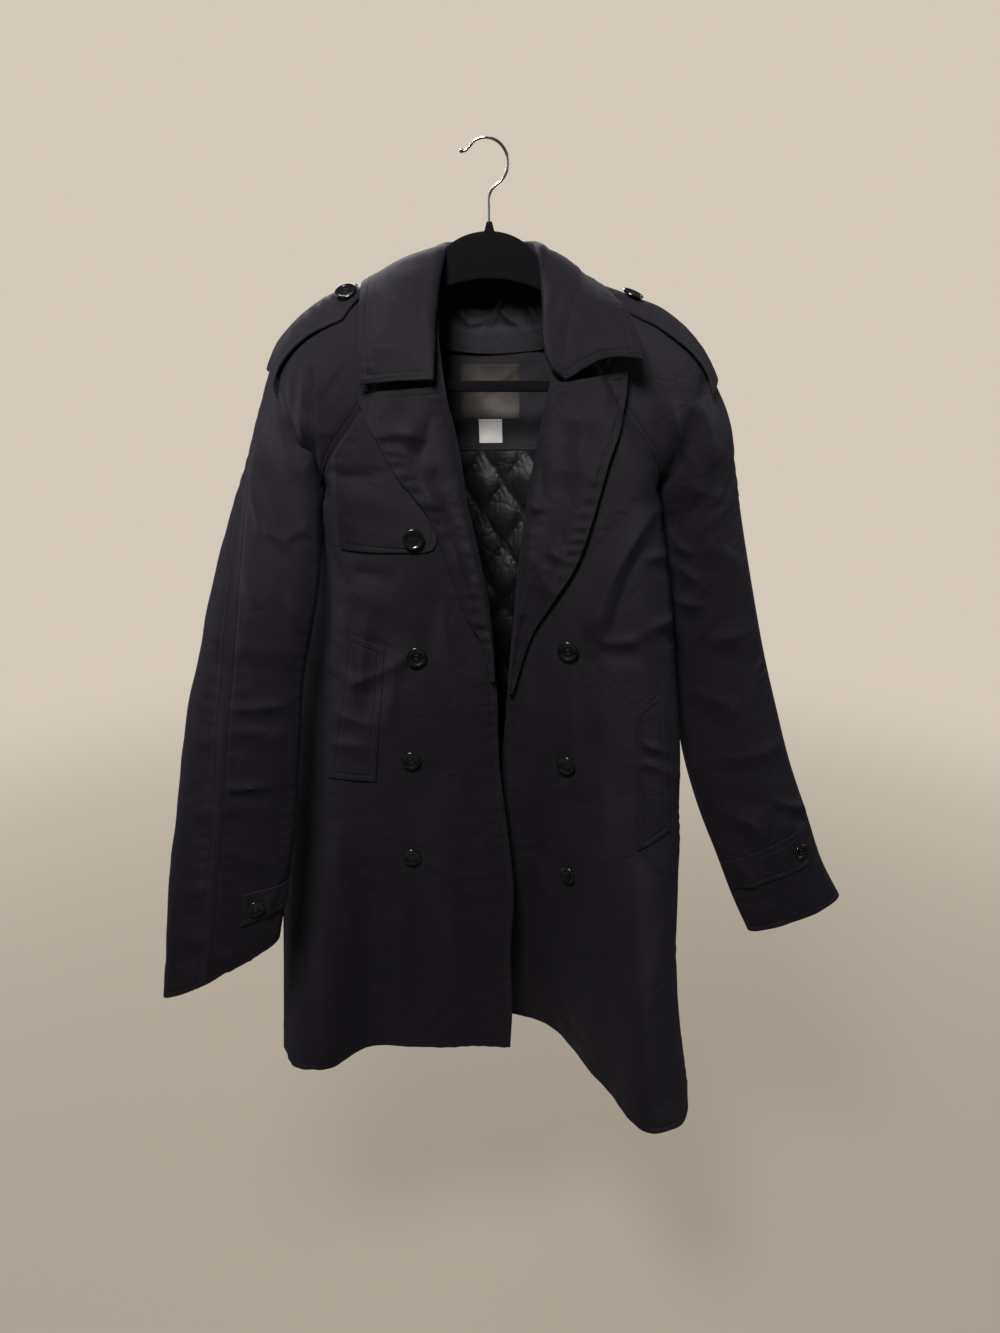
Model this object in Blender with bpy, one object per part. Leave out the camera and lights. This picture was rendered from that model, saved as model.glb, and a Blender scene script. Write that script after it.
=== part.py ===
"""Trench coat, worn open, hanging on a slim hanger.

Metres, +Z up, -Y towards the viewer, +X to the viewer's right. The origin is the crown of the
hanger's wire hook, where it hangs. "left" and "right" are the viewer's. Each cloth piece is a
grid of points read from short tables, given its thickness along the grid's own normals.
"""
import functools
import math

import bmesh
import bpy
import numpy as np
from mathutils import Vector

# Walls, seams and lifts
CLOTH = 0.0016            # outer cloth, one layer
DOUBLE = 0.0024           # collar, lapels, epaulettes: two layers with interlining
INSIDE = 0.0012           # facing and neck stand
SEAM = 0.0005             # clear space between two pieces at a seam
LIE = 0.0007              # clear space under a piece that lies on a panel
RIM = 0.0005              # clear space between a layer and the wall behind it

# Heights (Z)
NECK_Z = -0.122           # where fronts, back and sleeves end under the collar
UNDERARM_Z = -0.315
HEM_Z = -1.0
CAP_ROWS = 10             # rows from the neck to the underarm, shared by what meets there
BODY_ROWS = 17            # rows from the underarm to the hem
FRONT_COLUMNS = 13
BACK_COLUMNS = 15
SLEEVE_ROWS = 14          # rows from the underarm to the cuff
SLEEVE_COLUMNS = 9
CUT_GAP = 0.0004          # between the two lengths of the right sleeve's back half

# Hanger
HANGER_THICK = 0.005
HANGER_CENTRE = 0.0010    # X of its middle
DOME_TOP = -0.0762
DOME_HALF = 0.050
DOME_FOOT = -0.1180
DOME_FOOT_DROP = 0.0105   # how much lower the dome's foot is at its two ends
NIB_TOP = -0.0680         # small neck that the wire leaves from
NIB_HALF, NIB_TIP_HALF = 0.0052, 0.0020
ARM_END = 0.196
ARM_TALL = 0.021
UNDER_COAT = CLOTH + 0.0015   # from the shoulder line to the arm, square to the shoulder
NECK_DROP = 0.0016        # more room where the arms leave the dome, under the neck seams
BAR_Z = -0.2165
BAR_TALL = 0.011
BAR_GAP = 0.0008
BAR_ENDS = (0.002, 0.013, 0.034)   # in from the arm's end: outer side, inner side, bend
WIRE = 0.0026             # diameter of the hook's wire
WIRE_SIDES = 8
HOOK_R = 0.0205           # radius of the hook's bend, at the middle of the wire
HOOK_X = -0.0022          # middle of the bend
STEM = [(0.0008, NIB_TOP + RIM), (0.0008, -0.0560), (0.0008, -0.0480), (0.0022, -0.0430)]
HOOK_TIP = [(-0.0170, -0.0062), (-0.0215, -0.0096), (-0.0264, -0.0090)]

# Buttons
BUTTON_R = 0.0105
SMALL_BUTTON_R = 0.0090
BUTTON_THICK = 0.0034
BUTTON_SIDES = 12

# Quilting of the lining: diamonds
DIAMOND_W = 0.045
DIAMOND_H = 0.068
PUFF = 0.0035

# Inside the back: depths in from its outer face, heights and widths
FACING_DEPTH = CLOTH + LIE + RIM
LINING_DEPTH = CLOTH + 0.0030
FACING_TOP, FACING_FOOT = -0.1855, -0.2860
FACING_REACH = (-0.082, 0.088)
LINING_TOP = -0.2866
LINING_COLUMNS = 11
LINING_ROWS = 21
BACK_MIDDLE = 0.0153      # X of the middle of the lining
LABEL = dict(top=-0.1996, foot=-0.2535, reach=(-0.0292, 0.0311), thick=0.0010)
SIZE_TAB = dict(top=-0.2545, foot=-0.2785, reach=(-0.0112, 0.0128), lean=0.03, thick=0.0008)


class Sections:
    """A table with named columns, read as smooth curves along its first column."""

    def __init__(self, columns, rows):
        data = np.array(rows, float)
        data = data[np.argsort(data[:, 0])]
        self.names = columns.split()[1:]
        self.station = data[:, 0]
        self.value = data[:, 1:]
        self.slope = np.gradient(self.value, self.station, axis=0)

    def at(self, where):
        """Every column at one station, as a dict."""
        where = min(max(where, self.station[0]), self.station[-1])
        i = int(np.clip(np.searchsorted(self.station, where) - 1, 0, len(self.station) - 2))
        step = self.station[i + 1] - self.station[i]
        t = (where - self.station[i]) / step
        value = ((2 * t**3 - 3 * t**2 + 1) * self.value[i]
                 + (t**3 - 2 * t**2 + t) * step * self.slope[i]
                 + (3 * t**2 - 2 * t**3) * self.value[i + 1]
                 + (t**3 - t**2) * step * self.slope[i + 1])
        return dict(zip(self.names, value))


# Front edges: the roll line down to the lapel's foot, then the free edge to the hem
LEFT_EDGE = Sections("z x y", [
    (-0.122, -0.0465, -0.026), (-0.160, -0.0465, -0.043), (-0.200, -0.0420, -0.056),
    (-0.240, -0.0350, -0.062), (-0.280, -0.0260, -0.065), (-0.330, -0.0195, -0.069),
    (-0.400, -0.0030, -0.073), (-0.460, 0.0040, -0.073), (-0.525, 0.0079, -0.071),
    (-0.600, 0.0100, -0.068), (-0.685, 0.0190, -0.064), (-0.760, 0.0260, -0.060),
    (-0.860, 0.0232, -0.058), (-0.940, 0.0255, -0.056), (-1.000, 0.0234, -0.055)])
RIGHT_EDGE = Sections("z x y", [
    (-0.122, 0.0525, -0.024), (-0.160, 0.0540, -0.043), (-0.195, 0.0600, -0.055),
    (-0.225, 0.0535, -0.061), (-0.270, 0.0450, -0.064), (-0.320, 0.0370, -0.066),
    (-0.400, 0.0280, -0.066), (-0.500, 0.0205, -0.060), (-0.580, 0.0150, -0.050),
    (-0.660, 0.0040, -0.038), (-0.760, -0.0090, -0.023), (-0.880, -0.0190, -0.009),
    (-1.000, -0.0220, 0.002)])

# Raglan seam of the front down to the underarm, then the side seam to the hem
LEFT_SIDE = Sections("z x y", [
    (-0.122, -0.0580, -0.021), (-0.160, -0.0790, -0.044), (-0.200, -0.1010, -0.056),
    (-0.240, -0.1250, -0.058), (-0.275, -0.1510, -0.053), (-0.295, -0.1620, -0.041),
    (-0.315, -0.1660, -0.018), (-0.350, -0.1690, -0.010), (-0.400, -0.1850, -0.004),
    (-0.500, -0.2060, -0.002), (-0.600, -0.2230, -0.003), (-0.700, -0.2380, -0.006),
    (-0.800, -0.2490, -0.015), (-0.900, -0.2540, -0.030), (-1.000, -0.2570, -0.055)])
RIGHT_SIDE = Sections("z x y", [
    (-0.122, 0.0640, -0.020), (-0.160, 0.0850, -0.044), (-0.200, 0.1070, -0.056),
    (-0.240, 0.1310, -0.058), (-0.275, 0.1570, -0.053), (-0.295, 0.1680, -0.041),
    (-0.315, 0.1720, -0.018), (-0.350, 0.1740, -0.016), (-0.400, 0.1845, -0.020),
    (-0.500, 0.1995, -0.026), (-0.600, 0.2110, -0.030), (-0.700, 0.2145, -0.036),
    (-0.800, 0.2160, -0.048), (-0.900, 0.2220, -0.065), (-1.000, 0.2320, -0.100)])
RAGLAN_BACK = Sections("z y", [
    (-0.122, 0.037), (-0.160, 0.043), (-0.200, 0.045), (-0.240, 0.045), (-0.275, 0.038),
    (-0.295, 0.021), (-0.315, -0.018)])

# How far forward each panel stands, at fractions of its width from edge to side
LEFT_FORM = Sections("z y20 y40 y60 y80 y93", [
    (-0.122, -0.027, -0.027, -0.026, -0.025, -0.023),
    (-0.160, -0.044, -0.046, -0.048, -0.048, -0.046),
    (-0.200, -0.058, -0.060, -0.062, -0.062, -0.060),
    (-0.275, -0.068, -0.071, -0.071, -0.068, -0.060),
    (-0.315, -0.071, -0.073, -0.072, -0.064, -0.048),
    (-0.400, -0.074, -0.075, -0.071, -0.056, -0.032),
    (-0.500, -0.074, -0.073, -0.067, -0.053, -0.030),
    (-0.600, -0.070, -0.069, -0.065, -0.053, -0.034),
    (-0.700, -0.066, -0.065, -0.062, -0.057, -0.042),
    (-0.850, -0.059, -0.058, -0.059, -0.070, -0.060),
    (-1.000, -0.0535, -0.054, -0.0553, -0.0935, -0.088)])
RIGHT_FORM = Sections("z y20 y40 y60 y80 y93", [
    (-0.122, -0.025, -0.026, -0.025, -0.024, -0.022),
    (-0.160, -0.044, -0.046, -0.048, -0.048, -0.046),
    (-0.200, -0.058, -0.061, -0.063, -0.062, -0.060),
    (-0.275, -0.068, -0.072, -0.073, -0.070, -0.061),
    (-0.315, -0.070, -0.074, -0.074, -0.067, -0.050),
    (-0.400, -0.073, -0.077, -0.076, -0.067, -0.050),
    (-0.500, -0.070, -0.077, -0.079, -0.071, -0.056),
    (-0.600, -0.062, -0.075, -0.084, -0.082, -0.066),
    (-0.700, -0.048, -0.069, -0.092, -0.098, -0.078),
    (-0.850, -0.020, -0.046, -0.102, -0.142, -0.122),
    (-1.000, 0.001, -0.0255, -0.113, -0.187, -0.174)])
BACK_FORM = Sections("z y07 y25 y50 y75 y93", [
    (-0.122, 0.038, 0.041, 0.043, 0.041, 0.038),
    (-0.160, 0.044, 0.047, 0.048, 0.047, 0.044),
    (-0.200, 0.047, 0.050, 0.051, 0.050, 0.047),
    (-0.275, 0.046, 0.051, 0.052, 0.051, 0.046),
    (-0.315, 0.030, 0.048, 0.051, 0.048, 0.030),
    (-0.400, 0.031, 0.046, 0.049, 0.046, 0.031),
    (-0.600, 0.033, 0.044, 0.047, 0.043, 0.030),
    (-0.800, 0.022, 0.041, 0.045, 0.040, 0.012),
    (-1.000, -0.014, 0.036, 0.044, 0.038, -0.040)])

# Soft folds of the fronts and back: a line from top to bottom, how wide, how far it stands out
LEFT_FOLDS = [
    dict(top=(-0.060, -0.62), foot=(-0.045, -1.05), width=0.022, rise=0.0045),
    dict(top=(-0.135, -0.72), foot=(-0.165, -1.05), width=0.022, rise=-0.0060),
    dict(top=(-0.105, -0.42), foot=(-0.150, -0.58), width=0.020, rise=-0.0045)]
RIGHT_FOLDS = [
    dict(top=(0.160, -0.30), foot=(0.095, -0.48), width=0.020, rise=0.0050),
    dict(top=(0.055, -0.62), foot=(0.078, -0.95), width=0.018, rise=-0.0080),
    dict(top=(0.130, -0.60), foot=(0.118, -1.05), width=0.020, rise=0.0050)]
BACK_FOLDS = [
    dict(top=(-0.085, -0.50), foot=(-0.120, -1.05), width=0.030, rise=-0.0070),
    dict(top=(0.010, -0.62), foot=(0.004, -1.05), width=0.030, rise=-0.0060),
    dict(top=(0.095, -0.50), foot=(0.125, -1.05), width=0.030, rise=-0.0070)]

# Sleeves, by the height of the inner (raglan, then underarm) seam. The flat section runs from
# that seam to the outer edge; "seam" is where the overarm seam lies on its front, as a fraction;
# front and back are its half depths, and round is 0 on the shoulder and 1 on the arm's tube.
SLEEVE_COLUMNS_NAMES = "z in_x in_y out_x out_y out_z seam front back round"
LEFT_SLEEVE = Sections(SLEEVE_COLUMNS_NAMES, [
    (-0.122, -0.0580, 0.000, -0.0540, 0.001, -0.1060, 1.00, 0.006, 0.006, 0.0),
    (-0.160, -0.0790, 0.000, -0.0900, 0.001, -0.1145, 1.00, 0.012, 0.010, 0.0),
    (-0.200, -0.1010, 0.000, -0.1280, 0.001, -0.1265, 1.00, 0.018, 0.014, 0.0),
    (-0.240, -0.1250, 0.000, -0.1610, 0.000, -0.1405, 1.00, 0.021, 0.017, 0.0),
    (-0.275, -0.1510, 0.000, -0.1900, -0.001, -0.1625, 1.00, 0.025, 0.021, 0.1),
    (-0.295, -0.1620, 0.000, -0.2060, -0.003, -0.1820, 0.99, 0.029, 0.027, 0.3),
    (-0.315, -0.1660, -0.018, -0.2185, -0.005, -0.2100, 0.96, 0.034, 0.034, 0.6),
    (-0.350, -0.1665, -0.052, -0.2377, -0.022, -0.2760, 0.88, 0.034, 0.036, 1.0),
    (-0.400, -0.1680, -0.075, -0.2575, -0.060, -0.3470, 0.76, 0.031, 0.033, 1.0),
    (-0.440, -0.1750, -0.087, -0.2720, -0.085, -0.4000, 0.70, 0.029, 0.032, 1.0),
    (-0.490, -0.1855, -0.096, -0.2850, -0.107, -0.4630, 0.67, 0.026, 0.032, 1.0),
    (-0.550, -0.1920, -0.103, -0.2985, -0.124, -0.5250, 0.66, 0.026, 0.031, 1.0),
    (-0.620, -0.2000, -0.110, -0.3115, -0.140, -0.6000, 0.65, 0.023, 0.030, 1.0),
    (-0.695, -0.2115, -0.115, -0.3265, -0.155, -0.6900, 0.65, 0.021, 0.026, 1.0),
    (-0.7845, -0.2299, -0.118, -0.3448, -0.175, -0.8201, 0.66, 0.018, 0.020, 1.0)])
RIGHT_SLEEVE = Sections(SLEEVE_COLUMNS_NAMES, [
    (-0.122, 0.0640, 0.000, 0.0600, 0.001, -0.1120, 1.00, 0.006, 0.006, 0.0),
    (-0.160, 0.0850, 0.000, 0.0960, 0.001, -0.1235, 1.00, 0.012, 0.010, 0.0),
    (-0.200, 0.1070, 0.000, 0.1340, 0.001, -0.1355, 1.00, 0.018, 0.014, 0.0),
    (-0.240, 0.1310, 0.000, 0.1670, 0.001, -0.1480, 1.00, 0.021, 0.017, 0.0),
    (-0.275, 0.1570, 0.000, 0.1950, 0.001, -0.1690, 1.00, 0.025, 0.021, 0.1),
    (-0.295, 0.1680, 0.000, 0.2100, 0.001, -0.1870, 1.00, 0.029, 0.027, 0.3),
    (-0.315, 0.1720, -0.018, 0.2240, 0.001, -0.2160, 1.00, 0.034, 0.032, 0.6),
    (-0.360, 0.1785, -0.001, 0.2465, 0.002, -0.2830, 0.98, 0.034, 0.030, 1.0),
    (-0.420, 0.1870, 0.008, 0.2634, 0.003, -0.3510, 0.98, 0.033, 0.029, 1.0),
    (-0.490, 0.1980, 0.012, 0.2825, 0.004, -0.4260, 0.98, 0.032, 0.028, 1.0),
    (-0.560, 0.2095, 0.012, 0.3028, 0.004, -0.5014, 0.98, 0.031, 0.027, 1.0),
    (-0.620, 0.2205, 0.004, 0.3215, 0.003, -0.5620, 0.98, 0.029, 0.026, 1.0),
    (-0.680, 0.2390, -0.014, 0.3435, 0.002, -0.6300, 0.98, 0.027, 0.025, 1.0),
    (-0.740, 0.2640, -0.031, 0.3700, 0.001, -0.6970, 0.98, 0.025, 0.023, 1.0),
    (-0.790, 0.2844, -0.035, 0.3960, 0.000, -0.7625, 0.98, 0.022, 0.020, 1.0),
    (-0.8366, 0.3064, -0.040, 0.4236, 0.000, -0.8122, 0.98, 0.020, 0.017, 1.0)])

# Collar: stations from the viewer's left point round the back of the neck to the right point
COLLAR = Sections("station fold_x fold_y fold_z edge_x edge_y edge_z crown", [
    (-7, -0.0530, -0.0755, -0.2040, -0.1175, -0.076, -0.2077, 0.003),
    (-6, -0.0515, -0.066, -0.1780, -0.1172, -0.073, -0.1847, 0.005),
    (-5, -0.0511, -0.053, -0.1532, -0.1171, -0.065, -0.1617, 0.007),
    (-4, -0.0480, -0.033, -0.1225, -0.1180, -0.045, -0.1375, 0.008),
    (-3, -0.0440, -0.012, -0.0965, -0.1190, -0.012, -0.1195, 0.006),
    (-2, -0.0390, 0.012, -0.0880, -0.1150, 0.022, -0.1205, 0.006),
    (-1, -0.0270, 0.032, -0.0855, -0.0930, 0.054, -0.1420, 0.006),
    (0, 0.0030, 0.0375, -0.0840, 0.0030, 0.064, -0.1650, 0.006),
    (1, 0.0330, 0.032, -0.0860, 0.0880, 0.054, -0.1420, 0.006),
    (2, 0.0450, 0.012, -0.0885, 0.1020, 0.022, -0.1245, 0.006),
    (3, 0.0500, -0.012, -0.0965, 0.1060, -0.014, -0.1225, 0.006),
    (4, 0.0528, -0.035, -0.1320, 0.1220, -0.056, -0.1400, 0.008),
    (5, 0.0535, -0.055, -0.1680, 0.1310, -0.074, -0.1562, 0.007),
    (6, 0.0600, -0.066, -0.1900, 0.1350, -0.082, -0.1723, 0.005),
    (7, 0.0745, -0.0745, -0.2021, 0.1381, -0.086, -0.1847, 0.004)])
COLLAR_ROWS = 33
COLLAR_COLUMNS = 6

# Foot of the neck stand inside the collar, at the collar's own stations
STAND_FOOT = Sections("station x y z", [
    (-2.2, -0.0600, 0.0120, -0.1745), (-1.2, -0.0477, 0.0400, -0.1832), (0, 0.0030, 0.0441, -0.1880),
    (1.2, 0.0545, 0.0400, -0.1832), (2.2, 0.0660, 0.0120, -0.1745)])
STAND_ROWS = 17
STAND_DROP = 0.0016       # how far below the fold the stand begins

# Lapels: the roll line and the free edge, top to foot
LEFT_LAPEL = Sections("row roll_x roll_z free_x free_z", [
    (0, -0.0450, -0.2110, -0.1215, -0.2165), (1, -0.0370, -0.2303, -0.1195, -0.2303),
    (2, -0.0300, -0.2571, -0.1049, -0.2571), (3, -0.0245, -0.2870, -0.0890, -0.2870),
    (4, -0.0200, -0.3200, -0.0640, -0.3200), (5, -0.0140, -0.3460, -0.0505, -0.3460),
    (6, -0.0050, -0.3900, -0.0355, -0.3900), (7, 0.0015, -0.4300, -0.0225, -0.4300),
    (8, 0.0040, -0.4620, -0.0060, -0.4620), (9, 0.0065, -0.5000, 0.0015, -0.5000)])
RIGHT_LAPEL = Sections("row roll_x roll_z free_x free_z", [
    (0, 0.0660, -0.2070, 0.1285, -0.1985), (1, 0.0545, -0.2240, 0.1278, -0.2221),
    (2, 0.0490, -0.2490, 0.1227, -0.2490), (3, 0.0430, -0.2787, 0.1130, -0.2787),
    (4, 0.0375, -0.3114, 0.1050, -0.3114), (5, 0.0330, -0.3480, 0.0950, -0.3480),
    (6, 0.0295, -0.3800, 0.0840, -0.3800), (7, 0.0265, -0.4150, 0.0640, -0.4150),
    (8, 0.0235, -0.4600, 0.0400, -0.4600), (9, 0.0200, -0.5200, 0.0235, -0.5200)])
LAPEL_ROWS = 17
LAPEL_SHARES = (0.0, 0.08, 0.22, 0.42, 0.62, 0.82, 1.0)   # columns, from roll to free edge
LAPEL_LIFT = 0.0048       # under the lapel's free edge, room for the flap
OVER_FLAP = 0.0056        # least space between front and lapel where the flap lies between
ROLL_LIFT = 0.0095        # how far the cloth stands out where it turns over

# Storm flap and pocket welts: corners as (x, z) on the front they lie on
FLAP = dict(top_z=-0.238, foot_z=-0.3655, inner_x=-0.0505, outer_x=-0.147, corner=0.012,
            seam_gap=0.004)
LEFT_WELT = dict(top=((-0.108, -0.470), (-0.146, -0.455)), foot=((-0.124, -0.622), (-0.176, -0.622)))
RIGHT_WELT = dict(top=((0.152, -0.537), (0.182, -0.518)), foot=((0.160, -0.690), (0.196, -0.675)))

# Buttons as (x, z) on what they are sewn to
LEFT_BUTTONS = [(-0.0740, -0.4745), (-0.0845, -0.5945), (-0.0879, -0.7183)]
FLAP_BUTTON = (-0.0729, -0.3517)
FLAP_BUTTON_LIFT = 0.0046
BUTTON_LIFT = 0.0009
RIGHT_BUTTONS = [(0.0800, -0.4675), (0.0815, -0.5974), (0.0875, -0.7355)]

# Epaulettes along the shoulder: sleeve stations, how far they reach behind the shoulder line, and
# before it at the neck and at the outer end; the button's place along and across the strap
EPAULETTE = dict(last=-0.309, behind=0.010, point=0.45)
LEFT_STRAP = dict(first=-0.196, front=(0.046, 0.038), button=(0.10, 3))
RIGHT_STRAP = dict(first=-0.175, front=(0.030, 0.040), button=(0.20, 4))
# Cuff tabs: sleeve stations and the stretch of the front of the sleeve that they cross
LEFT_TAB = dict(first=-0.7090, last=-0.7400, start=0.04, stop=0.42, button=0.32)
RIGHT_TAB = dict(first=-0.7450, last=-0.7800, start=0.04, stop=0.80, button=0.68)

MATERIALS = {
    # name: base colour, roughness, metallic
    "coat_cloth": ((0.012, 0.011, 0.015), 0.78, 0.0),
    "quilted_satin": ((0.008, 0.008, 0.009), 0.38, 0.0),
    "label_satin": ((0.060, 0.058, 0.058), 0.42, 0.0),
    "white_tab": ((0.740, 0.740, 0.730), 0.60, 0.0),
    "button_gloss": ((0.010, 0.010, 0.011), 0.16, 0.0),
    "hanger_velvet": ((0.006, 0.006, 0.007), 0.92, 0.0),
    "chrome_wire": ((0.620, 0.620, 0.610), 0.16, 1.0),
}


def clear_scene():
    for thing in list(bpy.data.objects):
        bpy.data.objects.remove(thing, do_unlink=True)


def material(name):
    """The named Principled material, made once."""
    made = bpy.data.materials.get(name)
    if made:
        return made
    colour, roughness, metallic = MATERIALS[name]
    made = bpy.data.materials.new(name)
    made.use_nodes = True
    shader = made.node_tree.nodes["Principled BSDF"]
    shader.inputs["Base Color"].default_value = (*colour, 1.0)
    shader.inputs["Roughness"].default_value = roughness
    shader.inputs["Metallic"].default_value = metallic
    return made


def add_mesh(name, points, faces, finish):
    """One named object from points and faces, its faces turned outwards."""
    mesh = bpy.data.meshes.new(name)
    mesh.from_pydata([tuple(map(float, p)) for p in points], [], faces)
    solid = bmesh.new()
    solid.from_mesh(mesh)
    bmesh.ops.recalc_face_normals(solid, faces=solid.faces)
    solid.to_mesh(mesh)
    solid.free()
    mesh.materials.append(material(finish))
    mesh.shade_smooth()
    mesh.set_sharp_from_angle(angle=math.radians(40))
    thing = bpy.data.objects.new(name, mesh)
    bpy.context.scene.collection.objects.link(thing)
    return thing


# ---- curves and grids -------------------------------------------------------------------

def curve_through(points, count=160):
    """A smooth dense curve through a few points, spaced by their chords."""
    points = np.asarray(points, float)
    station = np.concatenate([[0.0], np.cumsum(np.linalg.norm(np.diff(points, axis=0), axis=1))])
    slope = np.gradient(points, station, axis=0)
    dense = []
    for where in np.linspace(0.0, station[-1], count):
        i = int(np.clip(np.searchsorted(station, where) - 1, 0, len(station) - 2))
        step = station[i + 1] - station[i]
        t = (where - station[i]) / step
        dense.append((2 * t**3 - 3 * t**2 + 1) * points[i] + (t**3 - 2 * t**2 + t) * step * slope[i]
                     + (3 * t**2 - 2 * t**3) * points[i + 1] + (t**3 - t**2) * step * slope[i + 1])
    return np.array(dense)


def lengths(curve):
    """Distance along a curve at each of its points."""
    return np.concatenate([[0.0], np.cumsum(np.linalg.norm(np.diff(curve, axis=0), axis=1))])


def walk(curve, distances):
    """Points at the given distances along a curve."""
    along = lengths(curve)
    return np.stack([np.interp(distances, along, curve[:, axis]) for axis in range(3)], axis=1)


def even(curve, count, trim_start=SEAM / 2, trim_stop=SEAM / 2):
    """Evenly spaced points along a curve, kept short of its two ends."""
    total = lengths(curve)[-1]
    return walk(curve, np.linspace(trim_start, total - trim_stop, count))


def normals_of(grid, outward):
    """Unit normals of a grid of points, on the side that the outward hint points to."""
    along = np.gradient(grid, axis=0)
    across = np.gradient(grid, axis=1)
    normal = np.cross(along, across)
    normal /= np.linalg.norm(normal, axis=2, keepdims=True)
    if np.sum(normal * np.asarray(outward)) < 0:
        normal = -normal
    return normal


class Panel:
    """A piece of cloth: its outer points, the way out at each, and its thickness."""

    def __init__(self, name, grid, outward, thick=CLOTH, finish="coat_cloth"):
        self.name = name
        self.grid = np.asarray(grid, float)
        self.out = normals_of(self.grid, outward)
        self.thick = thick
        self.finish = finish

    def lifted(self, height):
        return self.grid + self.out * height

    def build(self):
        outer = self.grid
        inner = self.grid - self.out * self.thick
        return wall(self.name, outer, inner, self.finish)


def wall(name, outer, inner, finish):
    """A closed wall between two grids of points of the same shape."""
    rows, columns = outer.shape[:2]
    points = np.concatenate([outer.reshape(-1, 3), inner.reshape(-1, 3)])

    def at(layer, row, column):
        return (layer * rows + row) * columns + column

    faces = []
    for row in range(rows - 1):
        for column in range(columns - 1):
            square = [(row, column), (row, column + 1), (row + 1, column + 1), (row + 1, column)]
            faces.append([at(0, *corner) for corner in square])
            faces.append([at(1, *corner) for corner in reversed(square)])
    rim = ([(0, column) for column in range(columns)]
           + [(row, columns - 1) for row in range(1, rows)]
           + [(rows - 1, column) for column in range(columns - 2, -1, -1)]
           + [(row, 0) for row in range(rows - 2, 0, -1)])
    for here, after in zip(rim, rim[1:] + rim[:1]):
        faces.append([at(0, *after), at(0, *here), at(1, *here), at(1, *after)])
    return add_mesh(name, points, faces, finish)


def share_rims(*edges):
    """Give edges that meet at a seam one common way out, so that their rims stand parallel.

    Each edge is (panel, row slice, column).
    """
    total = sum(panel.out[rows, column] for panel, rows, column in edges)
    total = total / np.linalg.norm(total, axis=-1, keepdims=True)
    for panel, rows, column in edges:
        panel.out[rows, column] = total


# ---- body -------------------------------------------------------------------------------

def fold_rise(folds, x, z):
    """How far the soft folds stand out at (x, z)."""
    total = 0.0
    for fold in folds:
        (top_x, top_z), (foot_x, foot_z) = fold["top"], fold["foot"]
        down = (top_z - z) / (top_z - foot_z)
        if 0.0 < down < 1.0:
            line_x = top_x + (foot_x - top_x) * down
            fade = min(1.0, 3.5 * down) * min(1.0, 3.5 * (1.0 - down))
            total = total + fold["rise"] * fade * np.exp(-((x - line_x) / fold["width"]) ** 2)
    return total


@functools.lru_cache(maxsize=None)
def front_curve(side, z):
    """The section of a front at one height, from its edge to its raglan or side seam."""
    edge_line, side_line, form, folds = {
        "left": (LEFT_EDGE, LEFT_SIDE, LEFT_FORM, LEFT_FOLDS),
        "right": (RIGHT_EDGE, RIGHT_SIDE, RIGHT_FORM, RIGHT_FOLDS)}[side]
    edge = edge_line.at(z)
    seam = side_line.at(z)
    depth = form.at(z)
    points = [(edge["x"], edge["y"], z)]
    for fraction in (0.20, 0.40, 0.60, 0.80, 0.93):
        x = edge["x"] + (seam["x"] - edge["x"]) * fraction
        points.append((x, depth["y%02d" % round(100 * fraction)], z))
    points.append((seam["x"], seam["y"], z))
    curve = curve_through(points)
    ease = np.sin(np.pi * np.linspace(0.0, 1.0, len(curve))) ** 0.5
    curve[:, 1] -= fold_rise(folds, curve[:, 0], z) * ease
    return curve


@functools.lru_cache(maxsize=None)
def back_curve(z):
    """The section of the back at one height, from its left to its right seam."""
    left = LEFT_SIDE.at(z)
    right = RIGHT_SIDE.at(z)
    if z > UNDERARM_Z:
        left["y"] = right["y"] = RAGLAN_BACK.at(z)["y"]
    depth = BACK_FORM.at(z)
    points = [(left["x"], left["y"], z)]
    for fraction in (0.07, 0.25, 0.50, 0.75, 0.93):
        x = left["x"] + (right["x"] - left["x"]) * fraction
        points.append((x, depth["y%02d" % round(100 * fraction)], z))
    points.append((right["x"], right["y"], z))
    curve = curve_through(points, 240)
    ease = np.sin(np.pi * np.linspace(0.0, 1.0, len(curve))) ** 0.5
    curve[:, 1] += fold_rise(BACK_FOLDS, curve[:, 0], z) * ease
    return curve


def body_heights():
    cap = list(np.linspace(NECK_Z, UNDERARM_Z, CAP_ROWS))
    return cap + list(np.linspace(UNDERARM_Z, HEM_Z, BODY_ROWS + 1))[1:]


@functools.lru_cache(maxsize=None)
def front_rows(side):
    """The outer points of a front, row by row."""
    return np.array([even(front_curve(side, z), FRONT_COLUMNS, trim_start=0.0) for z in body_heights()])


@functools.lru_cache(maxsize=None)
def back_rows():
    """The outer points of the back, row by row."""
    return np.array([even(back_curve(z), BACK_COLUMNS) for z in body_heights()])


def depth_on(rows, z, x):
    """The Y of a panel at (x, z), between its rows of points."""
    heights = -rows[:, 0, 2]
    i = int(np.clip(np.searchsorted(heights, -z) - 1, 0, len(heights) - 2))
    share = (-z - heights[i]) / (heights[i + 1] - heights[i])
    pair = []
    for row in rows[i:i + 2]:
        order = np.argsort(row[:, 0])
        pair.append(np.interp(x, row[order, 0], row[order, 1]))
    return pair[0] * (1.0 - share) + pair[1] * share


def lean(rows, z, x):
    """How a panel's Y changes per metre along X and along Z at (x, z)."""
    step = 0.004
    return (np.array([depth_on(rows, z, x + step) - depth_on(rows, z, x - step),
                      depth_on(rows, z + step, x) - depth_on(rows, z - step, x)]) / (2 * step))


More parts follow.
